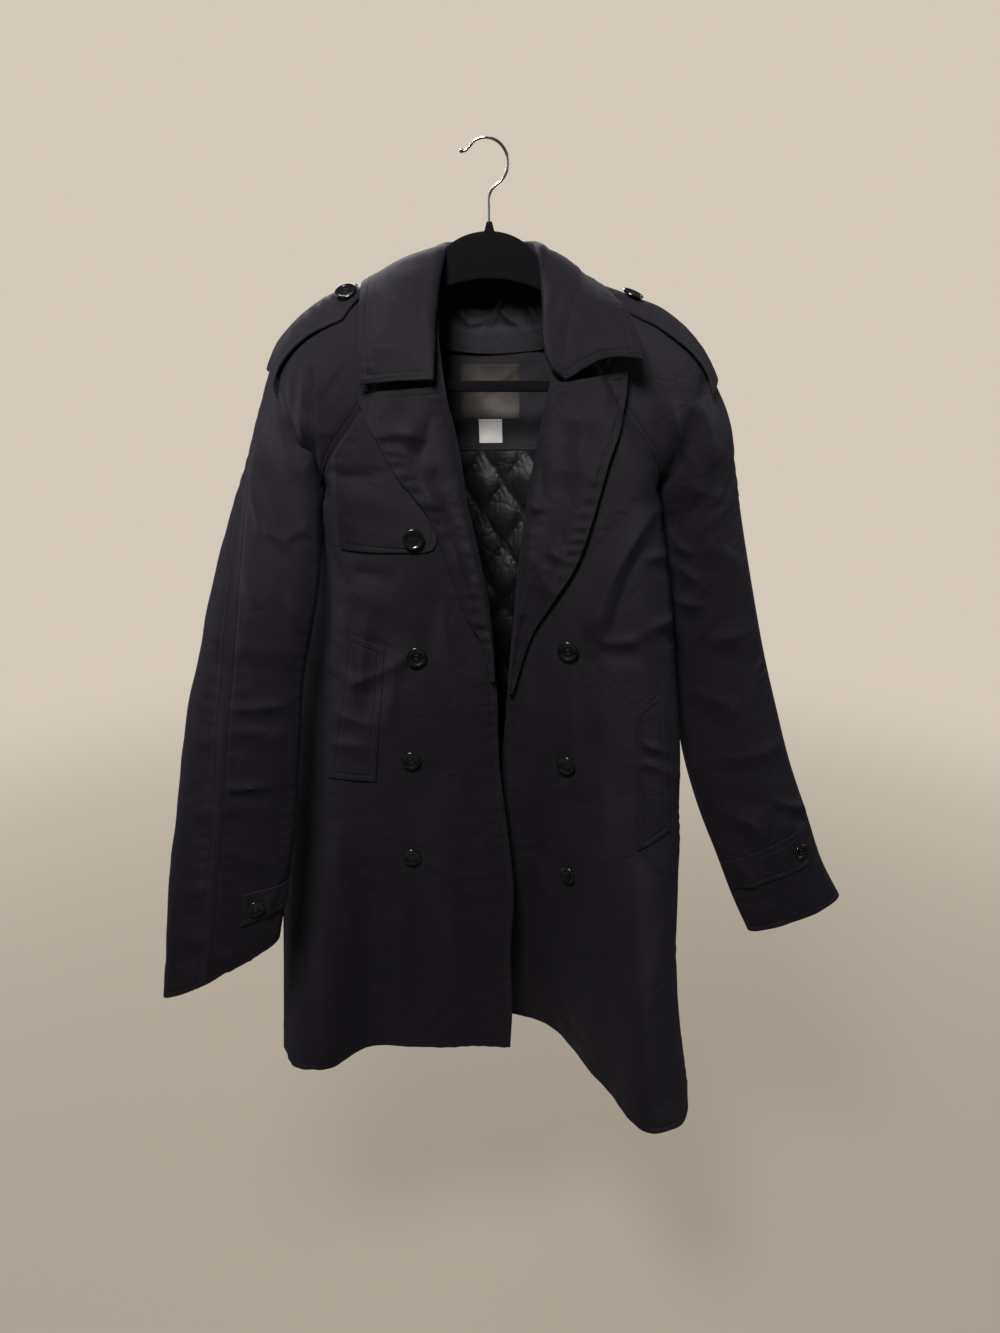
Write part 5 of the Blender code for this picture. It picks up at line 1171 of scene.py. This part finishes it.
def drill(mesh, radius):
    """Cut the four thread holes through."""
    body = new_object("button_blank", mesh)
    pins = bmesh.new()
    for dx, dy in BUTTON_HOLES:
        place = Matrix.Translation((dx * radius, dy * radius, 0))
        bmesh.ops.create_cone(pins, cap_ends=True, segments=14, radius1=HOLE_R * radius,
                              radius2=HOLE_R * radius, depth=4 * BUTTON_THICK, matrix=place)
    pin_mesh = bpy.data.meshes.new("button_pins")
    pins.to_mesh(pin_mesh)
    pins.free()
    cutter = new_object("button_cutter", pin_mesh)
    cut = body.modifiers.new("holes", "BOOLEAN")
    cut.operation, cut.solver, cut.object = "DIFFERENCE", "EXACT", cutter
    made = applied(body)
    bpy.data.objects.remove(cutter)
    return made


def make_button(name, place, out, radius=BUTTON_R):
    out = Vector(out).normalized()
    turn = Vector((0, 0, 1)).rotation_difference(out).to_matrix().to_4x4()
    twist = Matrix.Rotation(0.3 + 0.7 * (sum(map(ord, name)) % 5), 4, "Z")
    seat = Matrix.Translation(place) @ turn @ twist
    mesh = button_form(radius).copy()
    mesh.name = name + "_turned"
    mesh.transform(seat)
    mesh.shade_smooth()
    mesh.set_sharp_from_angle(angle=BUTTON_TURN)
    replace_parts(dressed(name + "_turned", mesh, "button"), name)
    for (ax, ay), (bx, by) in (BUTTON_HOLES[:2], BUTTON_HOLES[2:]):
        for shift in (-0.045, 0.045):
            path = [(ax, ay, 0.30), (ax * 0.8, ay, 0.70), (bx * 0.8, by, 0.70), (bx, by, 0.30)]
            THREADS.append(([seat @ Vector((x * radius, (y + shift) * radius, z * BUTTON_THICK))
                             for x, y, z in path], THREAD_HALF))
    THREADS.append(([seat @ Vector((0, 0, height)) for height in SHANK_ENDS], SHANK_HALF))


def make_buttons(cloths, flap, straps, tabs):
    for side, places in FRONT_BUTTONS.items():
        for number, (x, z) in enumerate(places, 1):
            point, out = on_panel(cloths[side + "_front"], x, z)
            make_button("%s_button_%d" % (side, number), point + out * BUTTON_LIFT, out)
    point, out = on_panel(flap, *FLAP_BUTTON)
    make_button("flap_button", point + out * BUTTON_LIFT, out)
    for side in ("left", "right"):
        strap = straps[side]
        rows, columns = strap.grid.shape[:2]
        along, across = STRAP[side]["button"]
        point, out = strap.line([along * (rows - 1)], [across * (columns - 1)])
        make_button(side + "_epaulette_button", point[0] + out[0] * LIE, out[0])
        tab, strap = TAB[side], tabs[side]
        rows, columns = strap.grid.shape[:2]
        share = (tab["button"] - tab["start"]) / (tab["stop"] - tab["start"])
        share = round(share * 8) / 8
        point, out = strap.line([(rows - 1) / 2], [share * (columns - 1)])
        make_button(side + "_cuff_button", point[0] + out[0] * LIE, out[0], SMALL_BUTTON_R)


def on_panel(cloth, x, z):
    """A point of a panel at (x, z), and the way out there, averaged over a button's width."""
    reach = 0.008
    lean_x = (depth_on(cloth.grid, z, x + reach) - depth_on(cloth.grid, z, x - reach)) / (2 * reach)
    lean_z = (depth_on(cloth.grid, z + reach, x) - depth_on(cloth.grid, z - reach, x)) / (2 * reach)
    out = np.array([lean_x, -1.0, lean_z])
    spread = [depth_on(cloth.grid, z + dz, x + dx) for dx in (-reach, 0, reach) for dz in (-reach, 0, reach)]
    depth = 0.5 * (min(spread) + depth_on(cloth.grid, z, x))
    return np.array([x, depth, z]), out / np.linalg.norm(out)


def make_threads():
    """The threads that cross the buttons, and their shanks, as thin tubes."""
    points, faces = [], []
    for path, width in THREADS:
        add_tube(points, faces, path, [width] * len(path), 8)
    add_piece("button_threads", points, faces, "thread")


def add_tube(points, faces, path, widths, sides):
    """A round tube of the given half widths along a path, closed at both ends."""
    base = len(points)
    for k, here in enumerate(path):
        along = (path[min(len(path) - 1, k + 1)] - path[max(0, k - 1)]).normalized()
        across = along.cross(Vector((0.0, 1.0, 0.0)))
        if across.length < 0.3:
            across = along.cross(Vector((1.0, 0.0, 0.0)))
        across.normalize()
        other = across.cross(along)
        for s in range(sides):
            angle = 2 * math.pi * s / sides
            points.append(tuple(here + (across * math.cos(angle) + other * math.sin(angle)) * widths[k]))
    faces += ring_faces(base, len(path), sides)


def ring_faces(base, count, sides):
    """The faces of a closed tube of rings, whose points are numbered from base."""
    faces = []
    for k in range(count - 1):
        for s in range(sides):
            a, b = base + k * sides + s, base + k * sides + (s + 1) % sides
            faces.append((a, b, b + sides, a + sides))
    last = base + (count - 1) * sides
    return faces + [tuple(base + s for s in range(sides)), tuple(last + s for s in reversed(range(sides)))]


# ---- hanger -------------------------------------------------------------------------------

def ridge_z(side, x):
    """Height of the sleeve's shoulder line at x."""
    table = SLEEVE[side]
    rows = [table.at(z) for z in np.linspace(NECK_Z, UNDERARM_Z, 10)]
    xs = np.array([abs(row["out_x"]) for row in rows])
    zs = np.array([row["out_z"] for row in rows])
    return float(np.interp(abs(x), xs, zs))


def arm_top(x):
    """Upper edge of the hanger's arms, just under the shoulders of the coat."""
    side = "left" if x < 0 else "right"
    step = 0.004
    fall = (ridge_z(side, x + HANGER_CENTRE + step) - ridge_z(side, x + HANGER_CENTRE - step)) / (2 * step)
    near_neck = min(1.0, max(0.0, (0.085 - abs(x)) / 0.020))
    return ridge_z(side, x + HANGER_CENTRE) - UNDER_COAT * math.hypot(1.0, fall) - NECK_DROP * near_neck


def arm_foot(x):
    taper = 1.0 - 0.25 * max(0.0, abs(x) - 0.12) / (ARM_END - 0.12)
    return arm_top(x) - ARM_TALL * taper


def rounded_plate(name, edges):
    """An upright flat bar with rounded edges: its upper and lower (x, z) at each place along it."""
    half, around = HANGER_THICK / 2, 20
    grid = []
    for (top_x, top_z), (foot_x, foot_z) in edges:
        tall = math.hypot(top_x - foot_x, top_z - foot_z) / 2
        ring = []
        for k in range(around):
            angle = 2 * math.pi * k / around
            c, s = math.cos(angle), math.sin(angle)
            depth = half * math.copysign(abs(s) ** 0.7, s)
            share = 0.5 + 0.5 * math.copysign(abs(c) ** min(1.0, half / tall * 1.4), c)
            ring.append((foot_x + (top_x - foot_x) * share + HANGER_CENTRE, depth,
                         foot_z + (top_z - foot_z) * share))
        grid.append(ring)
    points = [point for ring in grid for point in ring]
    piece = add_piece(name + "_flocked", points, ring_faces(0, len(grid), around), "velvet")
    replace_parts(piece, name)


def make_hanger():
    places = np.linspace(-ARM_END, ARM_END, 300)
    places = np.unique(np.concatenate([places, np.linspace(-NIB_HALF, NIB_HALF, 24)]))
    edges = []
    for x in places:
        if abs(x) >= DOME_HALF:
            top = arm_top(x)
        else:
            edge = arm_top(math.copysign(DOME_HALF, x))
            top = edge + (DOME_TOP - edge) * math.sqrt(1.0 - (x / DOME_HALF) ** 2)
            nib = smooth_step(NIB_HALF - abs(x), 0.0, NIB_HALF - NIB_TIP_HALF)
            top += (NIB_TOP - top) * nib
        inner_foot = DOME_FOOT - DOME_FOOT_DROP * min(1.0, abs(x) / DOME_HALF) ** 2
        blend = min(1.0, max(0.0, (abs(x) - DOME_HALF) / 0.02))
        edges.append(((x, top), (x, inner_foot * (1.0 - blend) + arm_foot(x) * blend)))
    rounded_plate("hanger_body", edges)

    low, high = BAR_Z - BAR_TALL / 2, BAR_Z + BAR_TALL / 2
    top, foot = [], []
    for sign in (-1, 1):
        outer, inner, bend = (sign * (ARM_END - inwards) for inwards in BAR_ENDS)
        upper = [(outer, arm_foot(outer) - BAR_GAP), (inner, arm_foot(inner) - BAR_GAP), (bend, high)]
        lower = [(outer, arm_foot(outer) - BAR_TALL), (inner, low + BAR_TALL / 3), (bend, low)]
        top += upper if sign < 0 else upper[::-1]
        foot += lower if sign < 0 else lower[::-1]
    steps = np.linspace(0, len(top) - 1, 160)
    rail = [np.stack([np.interp(steps, range(len(top)), [p[axis] for p in line]) for axis in (0, 1)], axis=1)
            for line in (top, foot)]
    rounded_plate("hanger_bar", [(tuple(a), tuple(b)) for a, b in zip(*rail)])


def make_hook():
    """Wire hook with a small ball at its tip."""
    middle_z = WIRE / 2 - HOOK_R
    bend = [(HOOK_X + HOOK_R * math.cos(math.radians(d)), middle_z + HOOK_R * math.sin(math.radians(d)))
            for d in range(-60, 121, 10)]
    path = curve_through([(x, 0.0, z) for x, z in STEM + bend + HOOK_TIP], 150)
    path = even(path, 150)
    width = np.full(150, WIRE / 2)
    tip = lengths(path)[-1] - lengths(path)
    ball = np.clip(1.0 - ((tip - 0.0022) / 0.0022) ** 2, 0.0, 1.0)
    width = np.maximum(width * (tip > 0.0018), 0.0020 * np.sqrt(ball))
    width[-1] = 0.0002
    points, faces = [], []
    add_tube(points, faces, [Vector(p) for p in path], width.tolist(), 20)
    piece = add_piece("hanger_hook_wire", points, faces, "chrome")
    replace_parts(piece, "hanger_hook")


# ---- stitching ----------------------------------------------------------------------------

ROWS_OF_STITCHES = []     # (points, ways out) of every stitched row
ROW_APART = 0.0065        # between the two rows of a double-stitched edge
HEM_ROW = 0.030           # from a hem or a cuff to its row
STITCH_PITCH = 0.0031
STITCH_SIZE = (0.00115, 0.00036, 0.00026)   # half length, half width, half height
STITCH_LIFT = 0.00012


def stitch(line):
    ROWS_OF_STITCHES.append(line)


def add_socket(tree, name, kind):
    return tree.interface.new_socket(name=name, in_out="INPUT", socket_type=kind).identifier


def stitch_tree():
    """Stitches along every row: evenly spaced, each a small flattened bead lying along the row."""
    tree = bpy.data.node_groups.new("stitch_rows", "GeometryNodeTree")
    tree.interface.new_socket(name="Rows", in_out="INPUT", socket_type="NodeSocketGeometry")
    pitch = add_socket(tree, "Pitch", "NodeSocketFloat")
    size = add_socket(tree, "Size", "NodeSocketVector")
    thread = add_socket(tree, "Thread", "NodeSocketMaterial")
    tree.interface.new_socket(name="Stitches", in_out="OUTPUT", socket_type="NodeSocketGeometry")

    def add(kind, **settings):
        node = tree.nodes.new(kind)
        for key, value in settings.items():
            setattr(node, key, value)
        return node

    given, result = add("NodeGroupInput"), add("NodeGroupOutput")
    curve = add("GeometryNodeMeshToCurve")
    spaced = add("GeometryNodeResampleCurve", mode="LENGTH")
    along = add("GeometryNodeInputTangent")
    bead = add("GeometryNodeMeshIcoSphere")
    bead.inputs["Radius"].default_value = 1.0
    bead.inputs["Subdivisions"].default_value = 1
    place = add("GeometryNodeInstanceOnPoints")
    turn = add("FunctionNodeAxesToRotation", primary_axis="Z", secondary_axis="X")
    out = add("GeometryNodeInputNamedAttribute", data_type="FLOAT_VECTOR")
    out.inputs["Name"].default_value = "out"
    whole = add("GeometryNodeRealizeInstances")
    painted = add("GeometryNodeSetMaterial")
    for source, name, target, socket in (
            (given, "Rows", curve, "Mesh"), (curve, "Curve", spaced, "Curve"),
            (given, "Pitch", spaced, "Length"),
            (spaced, "Curve", place, "Points"), (bead, "Mesh", place, "Instance"),
            (out, "Attribute", turn, "Primary Axis"), (along, "Tangent", turn, "Secondary Axis"),
            (turn, "Rotation", place, "Rotation"), (given, "Size", place, "Scale"),
            (place, "Instances", whole, "Geometry"), (whole, "Geometry", painted, "Geometry"),
            (given, "Thread", painted, "Material"), (painted, "Geometry", result, "Stitches")):
        tree.links.new(source.outputs[name], target.inputs[socket])
    return tree, pitch, size, thread


def make_stitching():
    points, edges, outs = [], [], []
    for line, out in ROWS_OF_STITCHES:
        base = len(points)
        points += [tuple(p) for p in line + out * STITCH_LIFT]
        outs.append(out)
        edges += [(base + k, base + k + 1) for k in range(len(line) - 1)]
    mesh = bpy.data.meshes.new("stitch_lines")
    mesh.from_pydata(points, edges, [])
    ways = mesh.attributes.new("out", "FLOAT_VECTOR", "POINT")
    ways.data.foreach_set("vector", np.concatenate(outs).ravel())
    lines = new_object("stitch_lines", mesh)
    tree, pitch, size, thread = stitch_tree()
    rows = lines.modifiers.new("stitches", "NODES")
    rows.node_group = tree
    rows[pitch] = STITCH_PITCH
    rows[size] = STITCH_SIZE
    rows[thread] = FINISHES["thread"]
    mesh = applied(lines)
    mesh.shade_smooth()
    dressed("stitching", mesh, "thread")


def sew(cloths, collar, stand, lapels, flap, straps, tabs, welts, inside):
    """Every stitched row: pairs near the edges, hems, and round what is sewn on."""
    near, far = STITCH_INSET, STITCH_INSET + ROW_APART
    for side in ("left", "right"):
        front = cloths[side + "_front"]
        stitch(front.down_line(near, first=0.56))
        stitch(front.down_line(near, from_end=True, first=0.05, last=0.218))
        stitch(front.down_line(far, from_end=True, first=0.05, last=0.215))
        stitch(front.cross_line(HEM_ROW, from_end=True))
        sleeve = cloths[side + "_sleeve_front"]
        rear = cloths[side + "_sleeve_back"]
        stitch(sleeve.cross_line(HEM_ROW, from_end=True))
        stitch(rear.cross_line(HEM_ROW, from_end=True))
        stitch(rear.down_line(near, from_end=True, first=0.28))
        stitch(rear.down_line(far, from_end=True, first=0.28))
        lapel = lapels[side]
        for inset in (near, far):
            stitch(lapel.down_line(inset, from_end=True, first=0.02, last=0.93))
        stitch(lapel.cross_line(near, first=0.15, last=0.97))
        stitch(lapel.cross_line(far, first=0.15, last=0.95))
        strap = straps[side]
        stitch(strap.down_line(near, first=0.06, last=0.97))
        stitch(strap.down_line(near, from_end=True, first=0.06, last=0.97))
        stitch(strap.cross_line(near, first=0.12, last=0.88))
        tab = tabs[side]
        stitch(tab.cross_line(0.005, first=0.03, last=0.97))
        stitch(tab.cross_line(0.005, from_end=True, first=0.03, last=0.97))
        stitch(tab.down_line(0.005, from_end=True, first=0.15, last=0.85))
        welt = welts[side]
        for inset in (0.004, 0.010):
            stitch(welt.cross_line(inset, first=0.05, last=0.95))
            stitch(welt.cross_line(inset, from_end=True, first=0.05, last=0.95))
        stitch(welt.down_line(0.005, first=0.03, last=0.97))
    rows, columns = (n - 1 for n in lapels["left"].grid.shape[:2])
    patch = ((0.05, 0.36), (0.05, 0.82), (0.15, 0.82), (0.15, 0.36), (0.05, 0.36))
    for (v0, u0), (v1, u1) in zip(patch, patch[1:]):
        stitch(lapels["left"].line(np.linspace(v0, v1, 40) * rows, np.linspace(u0, u1, 40) * columns))
    stitch(cloths["back"].cross_line(HEM_ROW, from_end=True))
    for inset in (near, far):
        stitch(collar.down_line(inset, from_end=True, first=0.01, last=0.99, count=300))
        stitch(flap.cross_line(inset, from_end=True, first=0.02, last=0.95))
        stitch(flap.down_line(inset, from_end=True, first=0.02, last=0.93))
    stitch(collar.cross_line(0.006, first=0.25, last=0.97))
    stitch(collar.cross_line(0.006, from_end=True, first=0.25, last=0.97))
    stitch(stand.down_line(0.0035, from_end=True, first=0.02, last=0.98))
    stitch(stand.down_line(0.0165, from_end=True, first=0.02, last=0.98))
    for edge in (False, True):
        stitch(inside["label"].cross_line(0.002, edge, 0.03, 0.97))
        stitch(inside["label"].down_line(0.002, edge, 0.03, 0.97))
    stitch(inside["tab"].cross_line(0.0015, False, 0.06, 0.94))
    stitch(inside["facing"].cross_line(0.004, True, 0.0, 1.0))
    make_stitching()


# ---- light, floor and camera --------------------------------------------------------------

FLOOR_Z = -1.75
FLOOR_END = 3.8           # from the origin, where the floor has taken on the background's tone
FILL_STRENGTH = 0.08      # of the even light from all round
BACKDROP = (0.655, 0.580, 0.487, 1.0)
WARM, COOL = (1.0, 0.96, 0.93), (0.95, 0.95, 1.0)


def make_stage():
    floor_mesh = bpy.data.meshes.new("floor")
    floor_mesh.from_pydata([(-6, -6, FLOOR_Z), (6, -6, FLOOR_Z), (6, 6, FLOOR_Z), (-6, 6, FLOOR_Z)], [],
                           [(0, 1, 2, 3)])
    # Painted shade on a glowing floor: for camera rays it glows in the backdrop's tone far off and darker
    # near the coat. Its lit colour fades to black far off.
    tree = Tree("floor_glow_and_painted_shade")
    reach = tree.add("ShaderNodeVectorMath", {0: tree.place}, operation="LENGTH").outputs["Value"]
    away = tree.add("ShaderNodeMapRange", {"Value": reach, "From Min": -FLOOR_Z, "From Max": FLOOR_END},
                    interpolation_type="SMOOTHSTEP").outputs["Result"]
    tree.set(Base_Color=tree.blend(away, (0.28, 0.25, 0.215), (0.0, 0.0, 0.0)), Roughness=0.9,
             Specular_IOR_Level=0.0)
    seen = tree.add("ShaderNodeLightPath").outputs["Is Camera Ray"]
    tree.set(Emission_Color=tree.blend(away, (0.20, 0.172, 0.135), BACKDROP[:3]), Emission_Strength=seen)
    floor_mesh.materials.append(tree.material)
    new_object("floor", floor_mesh)


def area_light(name, place, aim, size, power, colour=(1.0, 1.0, 1.0)):
    light = bpy.data.lights.new(name, "AREA")
    light.shape, light.size, light.energy, light.color = "DISK", size, power, colour
    lamp = new_object(name, light)
    lamp.location = place
    lamp.rotation_euler = (Vector(aim) - Vector(place)).to_track_quat("-Z", "Y").to_euler()


def make_light():
    world = bpy.data.worlds.new("studio")
    world.use_nodes = True
    nodes, links = world.node_tree.nodes, world.node_tree.links
    shown = nodes["Background"]
    shown.inputs["Color"].default_value = BACKDROP
    fill = nodes.new("ShaderNodeBackground")
    fill.inputs["Color"].default_value = (0.86, 0.87, 0.90, 1.0)
    fill.inputs["Strength"].default_value = FILL_STRENGTH
    path, mix = nodes.new("ShaderNodeLightPath"), nodes.new("ShaderNodeMixShader")
    links.new(path.outputs["Is Camera Ray"], mix.inputs[0])
    links.new(fill.outputs[0], mix.inputs[1])
    links.new(shown.outputs[0], mix.inputs[2])
    links.new(mix.outputs[0], nodes["World Output"].inputs["Surface"])
    bpy.context.scene.world = world
    area_light("ceiling", (-0.26, -0.98, 0.66), (0.0, -0.05, -0.15), 0.40, 24.0, WARM)
    area_light("front_fill", (-0.9, -2.2, 0.6), (0.0, 0.0, -0.5), 1.6, 1.2, COOL)
    area_light("back_fill", (-0.5, 2.2, 1.0), (0.0, 0.0, -0.5), 1.6, 55.0)
    for side in (-1, 1):
        area_light("side_fill", (side * 2.2, 0.5, 0.2), (0.0, 0.0, -0.5), 1.4, 9.0, COOL)


def make_camera():
    data = bpy.data.cameras.new("camera")
    data.sensor_width = 36.0
    data.lens = LENS_PX * data.sensor_width / FRAME_H
    data.clip_start, data.clip_end = 0.02, 50.0
    camera = new_object("camera", data)
    camera.location = EYE
    camera.rotation_euler = (math.radians(90) - PITCH, 0.0, 0.0)
    bpy.context.scene.camera = camera


def main():
    cloths = make_body_and_sleeves()
    lapels = {"left": make_lapel("left", cloths, LEFT_LAPEL_CREASES, 21),
              "right": make_lapel("right", cloths, RIGHT_LAPEL_CREASES, 22)}
    welts = {side: make_welt(side, cloths, 25) for side in ("left", "right")}
    flap = make_flap(cloths)
    straps = {side: make_epaulette(side, cloths) for side in ("left", "right")}
    tabs = {side: make_cuff_tab(side, cloths) for side in ("left", "right")}
    collar = make_collar()
    stand = make_stand(collar)
    inside = make_inside(cloths["back"])
    make_buttons(cloths, flap, straps, tabs)
    make_threads()
    make_hanger()
    make_hook()
    sew(cloths, collar, stand, lapels, flap, straps, tabs, welts, inside)
    make_stage()
    make_light()
    make_camera()
    bpy.context.scene.view_settings.view_transform = "Standard"


main()
